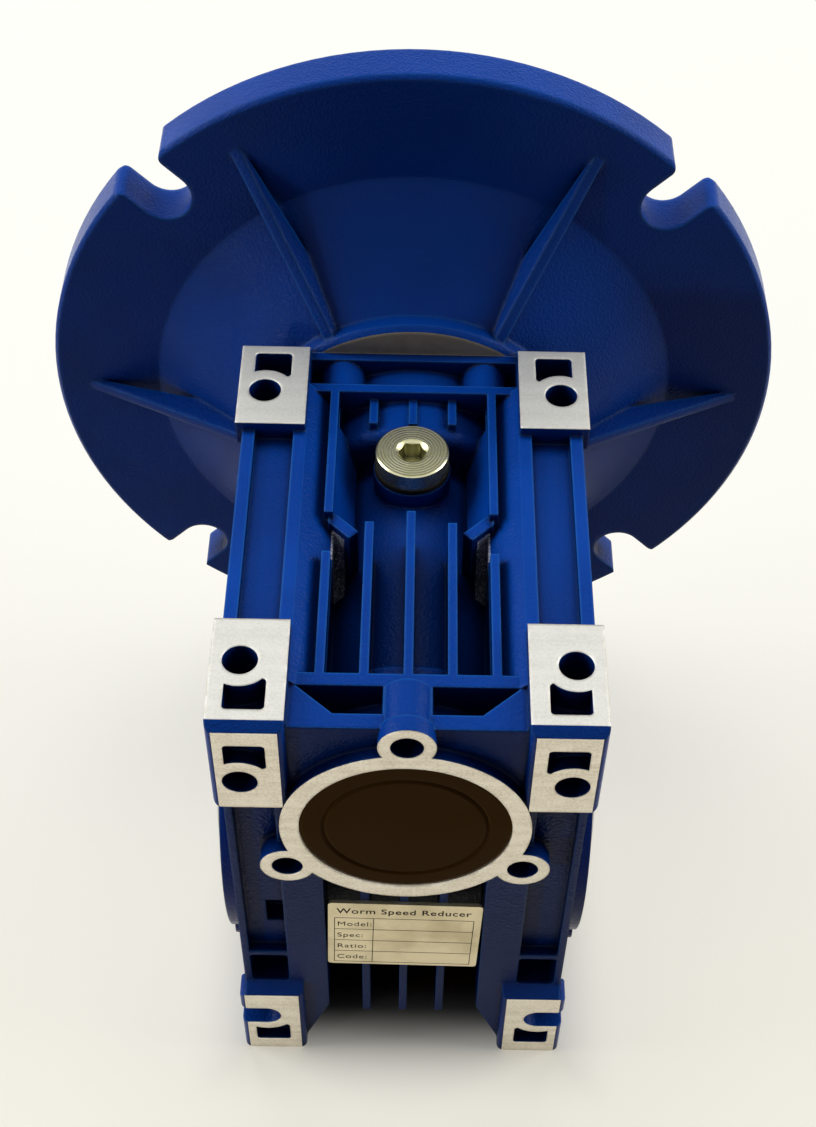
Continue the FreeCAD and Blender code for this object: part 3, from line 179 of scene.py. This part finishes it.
class Looks(Shader):
    """One material under construction."""

    def __init__(self, name):
        self.material = bpy.data.materials.new(name)
        super().__init__(self.material, "ShaderNodeOutputMaterial")
        self.place = self.node("ShaderNodeTexCoord").outputs["Object"]
        parts = self.node("ShaderNodeSeparateXYZ", {}, self.place).outputs
        self.x, self.y, self.z = (Field(self, socket) for socket in parts)

    def noise(self, scale, detail=2.0, stretch=None):
        """Smooth noise between 0 and 1; scale counts features per metre."""
        place = self.place
        if stretch:
            place = self.node("ShaderNodeMapping", {}, place, Scale=stretch).outputs[0]
        made = self.node("ShaderNodeTexNoise", {}, Vector=place, Scale=scale, Detail=detail)
        return Field(self, made.outputs[0])

    def bands(self, distance, scale):
        """Uneven rings about an axis, for the marks of a lathe tool."""
        place = self.node("ShaderNodeCombineXYZ", {}, distance).outputs[0]
        made = self.node("ShaderNodeTexNoise", {}, Vector=place, Scale=scale, Detail=3.0)
        return Field(self, made.outputs[0])

    def around(self, across, along, centre_across=0.0, centre_along=0.0):
        """The distance from an axis that passes through a point of two coordinates."""
        a, b = across - centre_across, along - centre_along
        return (a * a + b * b) ** 0.5

    def mix(self, mask, first, second):
        """The first colour where the mask is 0 and the second where it is 1."""
        made = self.node("ShaderNodeMix", {"data_type": "RGBA"})
        for slot, value in zip(MIX_INPUTS, (mask, first, second)):
            self.link(value, made.inputs[slot])
        return made.outputs[MIX_RESULT]

    def bump(self, height, strength, distance, normal=None):
        made = self.node("ShaderNodeBump", {}, Strength=strength, Distance=distance,
                         Height=height, Normal=normal)
        return made.outputs[0]

    def soft_edges(self, radius):
        """A normal that rounds the edges of a casting."""
        return self.node("ShaderNodeBevel", {"samples": SHADING_RAYS}, radius).outputs[0]

    def openness(self, reach, low, high):
        """0 deep in a recess and 1 where nothing stands within reach."""
        settings = {"samples": SHADING_RAYS, "only_local": False}
        made = self.node("ShaderNodeAmbientOcclusion", settings, Distance=reach)
        return Field(self, made.outputs["AO"]).ramp(low, high)

    def edge_mask(self, soft):
        """0 on flat ground, up to 1 where the rounded normal leaves the true one."""
        true_normal = self.node("ShaderNodeNewGeometry").outputs["True Normal"]
        settings = {"operation": "DOT_PRODUCT"}
        dot = self.node("ShaderNodeVectorMath", settings, soft, true_normal).outputs["Value"]
        return (1.0 - Field(self, dot)).ramp(*EDGE_TURN)

    def finish(self, **sockets):
        """Close the material with one Principled shader."""
        skin = self.node("ShaderNodeBsdfPrincipled", {}, **sockets)
        self.link(skin.outputs[0], self.out)
        return self.material


def rgb(red, green, blue):
    """A colour as Blender wants it, from values between 0 and 1 in linear light."""
    return (red, green, blue, 1.0)


# %% [markdown]
# The castings are die-cast aluminium under a thick blue gloss enamel. The paint follows
# the grain of the die, so its highlights break up into small sparkles. It is paler along
# the edges, where it is thinner and where a painted highlight lies, and a painted shade
# darkens it in the recesses and inner corners. Cutters have faced some planes after
# painting and left uneven rings there; on the rear faces that metal is painted lighter
# and warmer, as painted light. One function makes paint and bare metal together, and
# takes another function that says where each of them is.

# %% Blue enamel and faced aluminium
PAINT = rgb(0.0013, 0.050, 0.330)
PAINT_DEEP = rgb(0.0010, 0.039, 0.265)
# A dark blue for painted shade in recesses and inner corners.
PAINT_SHADE = rgb(0.0010, 0.010, 0.066)
# A paler blue for edges: thin worn paint with a painted highlight.
PAINT_EDGE_WEAR_AND_HIGHLIGHT = rgb(0.020, 0.150, 0.50)
FACED, FACED_WORN = rgb(0.74, 0.735, 0.70), rgb(0.60, 0.595, 0.555)
# The rear faces' metal is a lighter, warmer copy of the top's: painted light.
REAR_FACED_PAINTED_LIGHT, REAR_WORN = rgb(0.88, 0.82, 0.70), rgb(0.60, 0.53, 0.41)
OILY, OILY_WORN = rgb(0.34, 0.29, 0.20), rgb(0.20, 0.17, 0.12)
BARE = rgb(0.90, 0.92, 0.94)
CLOUDS, GLOSS_PATCHES, RUBBED, CUTTER, SPECKLE = 38.0, 120.0, 330.0, 900.0, 1900.0
CAST_GRAIN, CAST_FINE = 1700.0, 4000.0
SPARKS, SPARK_PATCHES = 3000.0, 420.0
RECESS_REACH, CORNER_REACH = 14 * MM, 2 * MM
PAINT_IOR = 1.16


def enamelled_casting(name, faces, edge_radius):
    """Blue enamel on a cast skin, and bare metal where a cutter has been.

    faces(looks) gives the masks of the faced, rear, unpainted and oily places, and the
    distance from the cutter's axis.
    """
    looks = Looks(name)
    soft = looks.soft_edges(edge_radius)
    edge = looks.edge_mask(soft)
    faced, rear, bare, oily, from_axis = faces(looks)
    paint = looks.mix(looks.noise(CLOUDS, 3.0).ramp(0.35, 0.7), PAINT_DEEP, PAINT)
    # Painted shade: the paint turns dark blue deep in recesses and along inner corners.
    paint = looks.mix(looks.openness(RECESS_REACH, 0.12, 0.85), PAINT_SHADE, paint)
    corners = looks.openness(CORNER_REACH, 0.45, 0.90)
    paint = looks.mix(corners, PAINT_SHADE, paint)
    # Edges get paler: partly thinner paint, partly a painted highlight.
    paint = looks.mix(edge * corners * 0.75, paint, PAINT_EDGE_WEAR_AND_HIGHLIGHT)
    rub = looks.noise(RUBBED, 5.0)
    cutter_marks = looks.bands(from_axis, CUTTER)
    speckle = looks.noise(SPECKLE, 2.0)
    worn = (rub * 0.25 + cutter_marks * 0.35 + speckle * 0.40).ramp(0.40, 0.66)
    # Painted light: the rear faces take the lighter, warmer copy of the faced metal.
    metal = looks.mix(rear, looks.mix(worn * 0.7, FACED, FACED_WORN),
                      looks.mix(worn * 0.7, REAR_FACED_PAINTED_LIGHT, REAR_WORN))
    metal = looks.mix(edge * rub.ramp(0.38, 0.56) * 0.6, metal, OILY)
    metal = looks.mix(oily, metal, looks.mix(rub.ramp(0.3, 0.8) * 0.5, OILY, OILY_WORN))
    skin = looks.mix(bare, looks.mix(faced, paint, metal), BARE)
    coarse, fine = looks.noise(CAST_GRAIN, 2.0).ramp(0.3, 0.7), looks.noise(CAST_FINE, 1.0)
    grain = coarse * 0.8 + fine * 0.2
    height = grain * (1.0 - faced) + cutter_marks * faced * 0.12
    rough_paint = 0.16 + looks.noise(GLOSS_PATCHES, 2.0) * 0.12
    rough = rough_paint * (1.0 - faced) + (0.40 + rub * 0.2) * faced
    return looks.finish(
        Base_Color=skin,
        Metallic=((faced * 0.75) | (rear * 0.85) | (bare * 0.35)) * (1.0 - oily * 0.5),
        Roughness=rough | (bare * 0.3),
        IOR=PAINT_IOR,
        Normal=looks.bump(height, strength=0.42, distance=0.20 * MM, normal=soft),
    )


def housing_faces(looks):
    """The faced planes of the housing, and the pits that the paint didn't reach."""
    ring = looks.around(looks.x, looks.z, 0.0, WORM_Z)
    level = (looks.z > TOP_Z - SKIN) | (looks.z < FOOT_Z + SKIN)
    level = level | (looks.y > MATING_Y - SKIN) | (looks.x.size() > BOSS_X - SKIN)
    bore = (ring < REAR_BORE_R) * (looks.y < REAR_Y + REAR_BORE_DEPTH)
    rear = (looks.y < REAR_Y + SKIN) | bore
    pit = (looks.x.size() > PIT_X[0]) * (looks.x.size() < PIT_X[1])
    pit = pit * (looks.y > PIT_Y[0]) * (looks.y < PIT_Y[1]) * (looks.z < PIT_TOP)
    patches = looks.noise(SPARK_PATCHES, 2.0).ramp(0.25, 0.50)
    glitter = looks.noise(SPARKS, 1.0).ramp(0.47, 0.60) * patches
    bare = pit * looks.z.ramp(*PIT_FADE) * (glitter * 0.75 + 0.25)
    none = bare * 0.0
    return level | rear, rear, bare, none, looks.around(looks.y, looks.z)


def flange_faces(looks):
    """The flange's two mating faces, the motor's register and the bell's faced floor."""
    from_axis = looks.around(looks.x, looks.z, 0.0, WORM_Z)
    mating = looks.y < MATING_Y + SKIN
    register = (looks.y > MOTOR_Y - REGISTER_DEPTH) * (from_axis < REGISTER_R + SKIN)
    floor_ring = (from_axis < BELL_FLOOR_R) * (looks.y > MATING_Y)
    faced = mating | (looks.y > MOTOR_Y - SKIN) | register | floor_ring
    none = faced * 0.0
    return faced, none, none, mating, from_axis


def cover_faces(looks):
    """The side cover's outer face with its spigot, and the seat behind it."""
    radius = looks.around(looks.y, looks.z)
    spigot = (radius < SPIGOT_R + SKIN) * (looks.x > BOSS_X - SPIGOT_BAND)
    faced = (looks.x > BOSS_X - SKIN) | spigot | (looks.x < COVER_SEAT_X)
    none = faced * 0.0
    return faced, none, none, none, radius


housing_paint = enamelled_casting("blue_enamel_housing", housing_faces, 0.85 * MM)
flange_paint = enamelled_casting("blue_enamel_flange", flange_faces, 1.4 * MM)
cover_paint = enamelled_casting("blue_enamel_cover", cover_faces, 0.6 * MM)

# %% [markdown]
# Turned pieces, such as the plug, the wheel and the screws, carry the rings of the lathe
# tool: a sine of the distance from the piece's own axis. Ground and drawn pieces have
# fine lines instead, which a stretched noise gives.

# %% Turned and ground metals
# A dark colour for painted shade in crevices.
CREVICE_SHADE = rgb(0.022, 0.020, 0.010)
STEEL, STEEL_WORN = rgb(0.52, 0.51, 0.49), rgb(0.36, 0.34, 0.31)
IRON, IRON_WORN = rgb(0.30, 0.295, 0.29), rgb(0.20, 0.19, 0.18)
BLACK_STEEL, BLACK_WORN = rgb(0.06, 0.06, 0.062), rgb(0.1, 0.1, 0.1)
BRONZE, BRONZE_WORN = rgb(0.58, 0.36, 0.13), rgb(0.42, 0.25, 0.09)
ZINC, ZINC_WORN = rgb(0.66, 0.64, 0.42), rgb(0.40, 0.39, 0.20)
BRIGHT, BRIGHT_WORN = rgb(0.72, 0.72, 0.73), rgb(0.60, 0.60, 0.61)
EVEN = (1.0, 1.0, 1.0)
CREVICE_REACH = 2.5 * MM


def turned(name, colour, worn, axis, pitch, rough, metallic=0.9, depth=0.25, centre=(0, 0, 0),
           shade_strength=0.3):
    """Lathe metal: fine rings about one axis, a little staining, painted shade in crevices."""
    looks = Looks(name)
    ways = {"x": (looks.y, looks.z), "y": (looks.x, looks.z), "z": (looks.x, looks.y)}
    middle = {"x": centre[1:], "y": centre[::2], "z": centre[:2]}[axis]
    radius = looks.around(*ways[axis], *middle)
    rings = (radius * (2 * math.pi / pitch)).sine()
    stains = looks.noise(150.0, 4.0)
    colour = looks.mix((stains * 0.7 + rings * 0.1).ramp(0.30, 0.50), colour, worn)
    # Painted shade: the colour turns dark in crevices, as strongly as the shade strength says.
    shut = 1.0 - looks.openness(CREVICE_REACH, 0.25, 0.85)
    relief = rings * 0.5 + looks.noise(1500.0, 1.0) * 0.5
    return looks.finish(
        Base_Color=looks.mix(shut * shade_strength, colour, CREVICE_SHADE), Metallic=metallic,
        Roughness=rough + stains * 0.18 + rings * 0.03,
        Normal=looks.bump(relief, strength=depth, distance=0.03 * MM))


def ground(name, colour, worn, rough, stretch=EVEN):
    """Ground or drawn metal with fine lines along one axis."""
    looks = Looks(name)
    lines = looks.noise(700.0, 2.0, stretch)
    stains = looks.noise(110.0, 3.0)
    return looks.finish(
        Base_Color=looks.mix(stains.ramp(0.4, 0.75), colour, worn), Metallic=1.0,
        Roughness=rough + lines * 0.14,
        Normal=looks.bump(lines, strength=0.2, distance=0.02 * MM))


PLUG_LOW, PLUG_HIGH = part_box("filler_plug")
PLUG_AXIS = tuple((a + b) / 2 for a, b in zip(PLUG_LOW, PLUG_HIGH))
finishes = {
    "worm_shaft": ground("ground_worm_steel", STEEL, STEEL_WORN, rough=0.22,
                         stretch=(0.05, 1.0, 1.0)),
    "wheel_rim": turned("gear_bronze", BRONZE, BRONZE_WORN, "x", pitch=0.30 * MM, rough=0.30),
    "wheel_hub": turned("hub_iron", IRON, IRON_WORN, "x", pitch=0.34 * MM, rough=0.34),
    "filler_plug": turned("yellow_zinc", ZINC, ZINC_WORN, "z", pitch=0.62 * MM, rough=0.20,
                          metallic=0.95, depth=0.45, centre=PLUG_AXIS, shade_strength=0.85),
    "rear_circlip": ground("spring_steel_rear", IRON, IRON_WORN, rough=0.35,
                           stretch=(1.0, 0.1, 1.0)),
    "cover_screws": turned("screw_steel", IRON, IRON_WORN, "x", pitch=0.25 * MM, rough=0.38),
    "flange_screws": turned("black_screw_steel", BLACK_STEEL, BLACK_WORN, "y",
                            pitch=0.25 * MM, rough=0.40, centre=(0, 0, WORM_Z)),
}
finishes["input_circlip"] = finishes["rear_circlip"]
bearing_steel = ground("bearing_steel", BRIGHT, BRIGHT_WORN, rough=0.10)

# %% [markdown]
# Rubber is the opposite of metal: dark, with a broad soft gloss and a dull bloom of dust
# that gathers in its moulded grain.

# %% Rubbers and the nameplate
BLACK_RUBBER, BLACK_BLOOM = rgb(0.012, 0.012, 0.012), rgb(0.035, 0.034, 0.032)
BROWN_RUBBER, BROWN_BLOOM = rgb(0.075, 0.033, 0.005), rgb(0.095, 0.048, 0.012)
LACQUER, LACQUER_AGED = rgb(0.80, 0.70, 0.47), rgb(0.60, 0.51, 0.32)
INK, INK_WORN = rgb(0.012, 0.012, 0.011), rgb(0.060, 0.055, 0.042)


def rubber(name, colour, bloom, rough):
    looks = Looks(name)
    dust = looks.noise(75.0, 4.0).ramp(0.45, 0.8)
    grain = looks.noise(1900.0, 2.0)
    soft = looks.soft_edges(0.3 * MM)
    return looks.finish(
        Base_Color=looks.mix(dust * 0.6, colour, bloom), Roughness=rough + dust * 0.15,
        IOR=1.11, Normal=looks.bump(grain, strength=0.25, distance=0.05 * MM, normal=soft))


def plate_metal():
    """Brushed aluminium foil under a thin warm lacquer that has yellowed in patches."""
    looks = Looks("plate_metal")
    brushed = looks.noise(1300.0, 2.0, (0.04, 1.0, 1.0))
    patches = looks.noise(95.0, 4.0)
    return looks.finish(
        Base_Color=looks.mix(patches.ramp(0.36, 0.66), LACQUER, LACQUER_AGED), Metallic=0.85,
        Roughness=0.36 + brushed * 0.12 + patches * 0.1,
        Normal=looks.bump(brushed, strength=0.18, distance=0.02 * MM))


def ink():
    looks = Looks("black_ink")
    wear = looks.noise(900.0, 3.0)
    colour = looks.mix(wear.ramp(0.5, 0.8), INK, INK_WORN)
    return looks.finish(Base_Color=colour, Roughness=0.5 + wear * 0.15, IOR=1.15)


black_rubber = rubber("black_rubber", BLACK_RUBBER, BLACK_BLOOM, rough=0.42)
brown_rubber = rubber("brown_rubber", BROWN_RUBBER, BROWN_BLOOM, rough=0.55)
finishes.update({
    "housing": housing_paint, "motor_flange": flange_paint, "side_cover": cover_paint,
    "rear_end_cap": brown_rubber, "nameplate": plate_metal(), "input_seal": black_rubber,
    "output_seal_left": black_rubber, "output_seal_right": black_rubber,
    "cover_o_ring": black_rubber, "plug_washer": black_rubber,
})

# %% Put the finishes on the CAD nodes
for node_name, node_object in nodes.items():
    finish = finishes.get(node_name, bearing_steel)
    slots = node_object.data.materials
    slots.clear()
    slots.append(finish)
print("finishes on", len(nodes), "nodes:", sorted({m.name for m in finishes.values()}))

# %% [markdown]
# The nameplate is a thin printed foil. Its heading and its ruled form are black ink a few
# hundredths of a millimetre thick. The words are flat text turned into a mesh, and the
# rules are thin boxes made in a loop. The plate was stuck on a little askew, so the print
# is laid out in the plate's own plane and then turned with it.

# %% Print on the nameplate
PLATE_LOW, PLATE_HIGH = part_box("nameplate")
PLATE_MIDDLE = (Vector(PLATE_LOW) + Vector(PLATE_HIGH)) / 2
PLATE_TURN = math.radians(1.4)
INK_T = 0.03 * MM
RULE_T = 0.16 * MM
FORM_LEFT, FORM_RIGHT, FORM_SPLIT = -14.4 * MM, 14.2 * MM, -6.4 * MM
FORM_TOP, ROW_H = 6.6 * MM, 4.5 * MM
HEADING, HEADING_SIZE, HEADING_WEIGHT = "Worm Speed Reducer", 2.75 * MM, 0.032 * MM
HEADING_LEFT, HEADING_FOOT = FORM_LEFT + 0.4 * MM, 8.4 * MM
LABELS, LABEL_SIZE, LABEL_WEIGHT = ("Model:", "Spec:", "Ratio:", "Code:"), 2.4 * MM, 0.0
LABEL_LEFT, LABEL_LIFT = FORM_LEFT + 0.5 * MM, 1.3 * MM
LETTER_SPACE = 1.10


def put(name, data):
    """An object in the scene from a mesh, a line of text, a lamp or a camera."""
    made = bpy.data.objects.new(name, data)
    bpy.context.scene.collection.objects.link(made)
    return made


def as_mesh(made):
    """The finished shape of an object as a plain mesh. The object itself goes."""
    bpy.context.view_layer.update()
    evaluated = made.evaluated_get(bpy.context.evaluated_depsgraph_get())
    mesh = bpy.data.meshes.new_from_object(evaluated)
    bpy.data.objects.remove(made)
    return mesh


def slab(corners, low, high):
    """Add a box between two corners to the lists of vertices and faces."""
    vertices, faces = corners
    start = len(vertices)
    for z in (low[2], high[2]):
        for x, y in ((low[0], low[1]), (high[0], low[1]), (high[0], high[1]), (low[0], high[1])):
            vertices.append((x, y, z))
    quads = ((0, 3, 2, 1), (4, 5, 6, 7), (0, 1, 5, 4), (1, 2, 6, 5), (2, 3, 7, 6), (3, 0, 4, 7))
    faces.extend(tuple(start + i for i in quad) for quad in quads)


def written(text, size, x, y, weight):
    """One line of flat text as a mesh, its left end at x and its foot at y."""
    curve = bpy.data.curves.new("line_of_text", "FONT")
    curve.body, curve.size, curve.extrude = text, size, INK_T / 2
    curve.space_character, curve.offset = LETTER_SPACE, weight
    mesh = as_mesh(put("line_of_text", curve))
    mesh.transform(Matrix.Translation((x, y, INK_T / 2)))
    return mesh


def joined(name, meshes, material):
    """One object from several meshes, with a material of its own."""
    whole = bmesh.new()
    for mesh in meshes:
        whole.from_mesh(mesh)
    bmesh.ops.recalc_face_normals(whole, faces=whole.faces)
    target = bpy.data.meshes.new(name)
    whole.to_mesh(target)
    whole.free()
    target.materials.append(material)
    for polygon in target.polygons:
        polygon.material_index = 0
    return put(name, target)


def plate_print():
    """The ruled form, the heading and the labels, as one object on the plate's front."""
    rules = ([], [])
    half = RULE_T / 2
    levels = [FORM_TOP - row * ROW_H for row in range(len(LABELS) + 1)]
    for level in levels:
        slab(rules, (FORM_LEFT, level - half, 0), (FORM_RIGHT, level + half, INK_T))
    for column in (FORM_LEFT, FORM_SPLIT, FORM_RIGHT):
        slab(rules, (column - half, levels[-1], 0), (column + half, FORM_TOP, INK_T))
    ruled = bpy.data.meshes.new("rules")
    ruled.from_pydata(rules[0], [], rules[1])
    meshes = [ruled, written(HEADING, HEADING_SIZE, HEADING_LEFT, HEADING_FOOT, HEADING_WEIGHT)]
    for label, level in zip(LABELS, levels[1:]):
        meshes.append(written(label, LABEL_SIZE, LABEL_LEFT, level + LABEL_LIFT, LABEL_WEIGHT))
    made = joined("nameplate_print", meshes, ink())
    upright = Euler((math.pi / 2, 0, 0)).to_matrix().to_4x4()
    turn = Matrix.Rotation(PLATE_TURN, 4, "Y")
    front = Vector((PLATE_MIDDLE.x, PLATE_LOW[1] + INK_T / 2, PLATE_MIDDLE.z))
    made.data.transform(Matrix.Translation(front) @ turn @ upright)
    return made


printed = plate_print()
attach(printed, "housing")
print("print on the nameplate:", len(printed.data.polygons), "faces")

# %% [markdown]
# Tapped holes need their threads, or they look like plain drillings. A Geometry Nodes
# tree winds a fine ridge inside one hole and repeats it in every hole of the pattern.

# %% Threads in the tapped holes
THREAD = {"Pitch circle radius": 37.5 * MM, "Holes": 4, "Hole radius": 2.5 * MM,
          "Turns": 9.0, "Depth": 9.0 * MM, "Ridge": 0.22 * MM}
THREAD_INSET, FIRST_HOLE = 0.3 * MM, math.radians(45)
STEPS_PER_TURN, RIDGE_SIDES = 20, 4


class Tree(Wiring):
    """A geometry tree with named inputs, built node by node."""

    def __init__(self, name, inputs):
        super().__init__(bpy.data.node_groups.new(name, "GeometryNodeTree"))
        face = self.tree.interface
        face.new_socket("Geometry", in_out="INPUT", socket_type="NodeSocketGeometry")
        for label, value in inputs.items():
            kind = "NodeSocketInt" if isinstance(value, int) else "NodeSocketFloat"
            socket = face.new_socket(label, in_out="INPUT", socket_type=kind)
            socket.default_value = value
        face.new_socket("Geometry", in_out="OUTPUT", socket_type="NodeSocketGeometry")
        self.given = self.node("NodeGroupInput").outputs
        self.result = self.node("NodeGroupOutput").inputs[0]

    def shape(self, kind, **sockets):
        """Add a node and return what comes out of it."""
        return self.node(kind, {}, **sockets).outputs[0]


def thread_tree(material):
    tree = Tree("tapped_thread", THREAD)
    given = tree.given
    helix = tree.shape("GeometryNodeCurveSpiral", Resolution=STEPS_PER_TURN,
                       Rotations=given["Turns"], Start_Radius=given["Hole radius"],
                       End_Radius=given["Hole radius"], Height=given["Depth"])
    ridge = tree.shape("GeometryNodeCurvePrimitiveCircle", Resolution=RIDGE_SIDES,
                       Radius=given["Ridge"])
    wound = tree.shape("GeometryNodeCurveToMesh", Curve=helix, Profile_Curve=ridge)
    ring = tree.shape("GeometryNodeMeshCircle", Vertices=given["Holes"],
                      Radius=given["Pitch circle radius"])
    placed = tree.shape("GeometryNodeInstanceOnPoints", Points=ring, Instance=wound)
    real = tree.shape("GeometryNodeRealizeInstances", Geometry=placed)
    tree.link(tree.shape("GeometryNodeSetMaterial", Geometry=real, Material=material),
              tree.result)
    return tree.tree


def from_tree(name, tree):
    """Run a tree on an empty mesh and keep its result as a plain mesh."""
    base = put(name, bpy.data.meshes.new(name + "_base"))
    base.modifiers.new("shape", "NODES").node_group = tree
    return put(name, as_mesh(base))


thread_metal = ground("thread_metal", STEEL, STEEL_WORN, rough=0.3)
threaded = from_tree("threads_left", thread_tree(thread_metal))
mouth = Matrix.Translation((-BOSS_X + THREAD_INSET, 0, 0))
lie = Matrix.Rotation(math.radians(90), 4, "Y")
threaded.data.transform(mouth @ lie @ Matrix.Rotation(FIRST_HOLE, 4, "Z"))
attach(threaded, "housing")
print("threads_left", len(threaded.data.polygons), "faces")

# %% [markdown]
# The picture was taken in a bright room on a white table: a broad skylight behind the
# object, a window on either side, a small low one on the left in front, and a darker side
# where the photographer stood. The table takes its tone from its own colour, so no lamp
# has to burn it out. Its even glow fades with nearness to the footprints of the housing
# and of the flange's rim, so that the lamps' shadow shows there, and under the housing
# the paper is painted dark brown as a painted shadow.

# %% Floor and light
FLOOR_HALF = 4.0
FLOOR_Z = FOOT_Z
TONE_NEAR_Y, TONE_FAR_Y = -0.12, 0.22
FADE = (0.28, 1.0)
TABLE_NEAR, TABLE_FAR = rgb(0.935, 0.905, 0.815), rgb(0.93, 0.93, 0.88)
WALL_WHITE, WHITE_STRENGTH = rgb(0.96, 0.965, 0.93), 1.0
TABLE_GLOW = 0.66
WALL_INSET = 3.5 * MM
BODY_HALF_X, BODY_HALF_Y = BOSS_X - WALL_INSET, -REAR_Y
RIM_HALF_X, RIM_HALF_Y = 25.0 * MM, 5.0 * MM
BODY_SHADE, RIM_SHADE = (-11.0 * MM, 16.0 * MM), (-5.0 * MM, 25.0 * MM)
# Painted shadow under the housing: where it spreads, and its dark brown.
SHADOW_SPREAD, UNDER_HOUSING_SHADOW = (-18.0 * MM, 3.0 * MM), rgb(0.035, 0.018, 0.007)
TABLE_BOUNCE = rgb(0.07, 0.07, 0.066)
DAYLIGHT, ROOM_STRENGTH = rgb(1.0, 0.99, 0.96), 0.05
WARM, COOL = (1.0, 0.99, 0.97), (0.98, 0.99, 1.0)


def paper(name):
    """A pale paper that is nearer to white for the eye than in the light it throws back."""
    looks = Looks(name)
    far_off = looks.around(looks.x, looks.y).ramp(*FADE)
    colour = looks.mix(looks.y.ramp(TONE_NEAR_Y, TONE_FAR_Y), TABLE_NEAR, TABLE_FAR)
    colour = looks.mix(far_off, colour, WALL_WHITE)
    beside_body = (looks.x.size() - BODY_HALF_X) | (looks.y.size() - BODY_HALF_Y)
    beyond_rim = (looks.y - (MOTOR_Y - RIM_HALF_Y)).size() - RIM_HALF_Y
    beside_rim = (looks.x.size() - RIM_HALF_X) | beyond_rim
    # The even glow fades near the footprints, so that the lamps' shadow shows there.
    away_from_footprints = beside_body.ramp(*BODY_SHADE) * beside_rim.ramp(*RIM_SHADE)
    # Painted shadow: the paper's colour turns dark brown under the housing.
    shadowed_colour = looks.mix(beside_body.ramp(*SHADOW_SPREAD), UNDER_HOUSING_SHADOW, colour)
    lit = looks.node("ShaderNodeBsdfDiffuse", {}, shadowed_colour).outputs[0]
    even = looks.node("ShaderNodeEmission", {}, colour, WHITE_STRENGTH).outputs[0]
    glow = away_from_footprints * TABLE_GLOW | far_off
    shown = looks.node("ShaderNodeMixShader", {}, glow, lit, even).outputs[0]
    dull = looks.node("ShaderNodeBsdfDiffuse", {}, TABLE_BOUNCE).outputs[0]
    whole = looks.node("ShaderNodeMixShader", {}, looks.seen_ray(), dull, shown).outputs[0]
    looks.link(whole, looks.out)
    return looks.material


def stand(name, corners, faces, material):
    """Put a piece of the stage into the scene."""
    mesh = bpy.data.meshes.new(name)
    mesh.from_pydata(corners, [], faces)
    mesh.materials.append(material)
    made = put(name, mesh)


def floor():
    h, z = FLOOR_HALF, FLOOR_Z
    square = [(-h, -h, z), (h, -h, z), (h, h, z), (-h, h, z)]
    stand("table", square, [(0, 1, 2, 3)], paper("white_table"))


def softbox(name, place, size, power, colour, mirrored=True):
    """A square lamp that looks at the object. A lamp that isn't mirrored gives no glare."""
    lamp = bpy.data.lights.new(name, "AREA")
    lamp.shape, lamp.size, lamp.energy, lamp.color = "SQUARE", size, power, colour
    made = put(name, lamp)
    made.location = place
    made.rotation_euler = (-Vector(place)).to_track_quat("-Z", "Y").to_euler()
    made.visible_glossy = mirrored


def room():
    """Dim daylight from all round, and white walls for what the eye sees."""
    world = bpy.data.worlds.new("room")
    bpy.context.scene.world = world
    sky = Shader(world, "ShaderNodeOutputWorld")
    dim = sky.node("ShaderNodeBackground", {}, DAYLIGHT, ROOM_STRENGTH).outputs[0]
    white = sky.node("ShaderNodeBackground", {}, WALL_WHITE, WHITE_STRENGTH).outputs[0]
    blend = sky.node("ShaderNodeMixShader", {}, sky.seen_ray(), dim, white).outputs[0]
    sky.link(blend, sky.out)


floor()
room()
softbox("skylight", place=(-0.05, 0.70, 0.95), size=0.70, power=8.4, colour=WARM,
        mirrored=False)
softbox("window_left", place=(-1.25, 0.22, 0.75), size=0.9, power=15.0, colour=COOL)
softbox("low_window", place=(-0.90, -0.68, 0.12), size=0.12, power=1.0, colour=COOL)
softbox("window_right", place=(1.25, 0.22, 0.70), size=0.9, power=13.0, colour=WARM)
bpy.context.scene.view_settings.view_transform = "Standard"

# %% [markdown]
# The camera was found from the object's own corners: its place, its turn and its focal
# length are those at which the pads, the holes and the flange's rim fall where the
# photograph has them. The picture is a crop, so the lens is shifted a little.

# %% Camera
IMAGE_W, IMAGE_H = 816, 1127
FOCAL_PX = 1759.41
CENTRE_PX = (430.0, 687.73)
SENSOR = 36.0
CLIP = (0.01, 20.0)
EYE = Vector((0.1315, -230.7403, 316.1384)) * MM
RIGHT = Vector((0.99977296, 0.00648937, 0.02029551))
DOWN = Vector((0.0175789, -0.78948613, -0.61351661))
FORWARD = Vector((0.01204169, 0.61373409, -0.78942097))


def camera():
    lens = bpy.data.cameras.new("photographer")
    lens.sensor_width = SENSOR
    lens.lens = SENSOR * FOCAL_PX / IMAGE_H
    lens.shift_x = (IMAGE_W / 2 - CENTRE_PX[0]) / IMAGE_H
    lens.shift_y = (CENTRE_PX[1] - IMAGE_H / 2) / IMAGE_H
    lens.clip_start, lens.clip_end = CLIP
    made = put("photographer", lens)
    turn = Matrix((RIGHT, -DOWN, -FORWARD)).transposed().to_4x4()
    made.matrix_world = Matrix.Translation(EYE) @ turn
    bpy.context.scene.camera = made


camera()
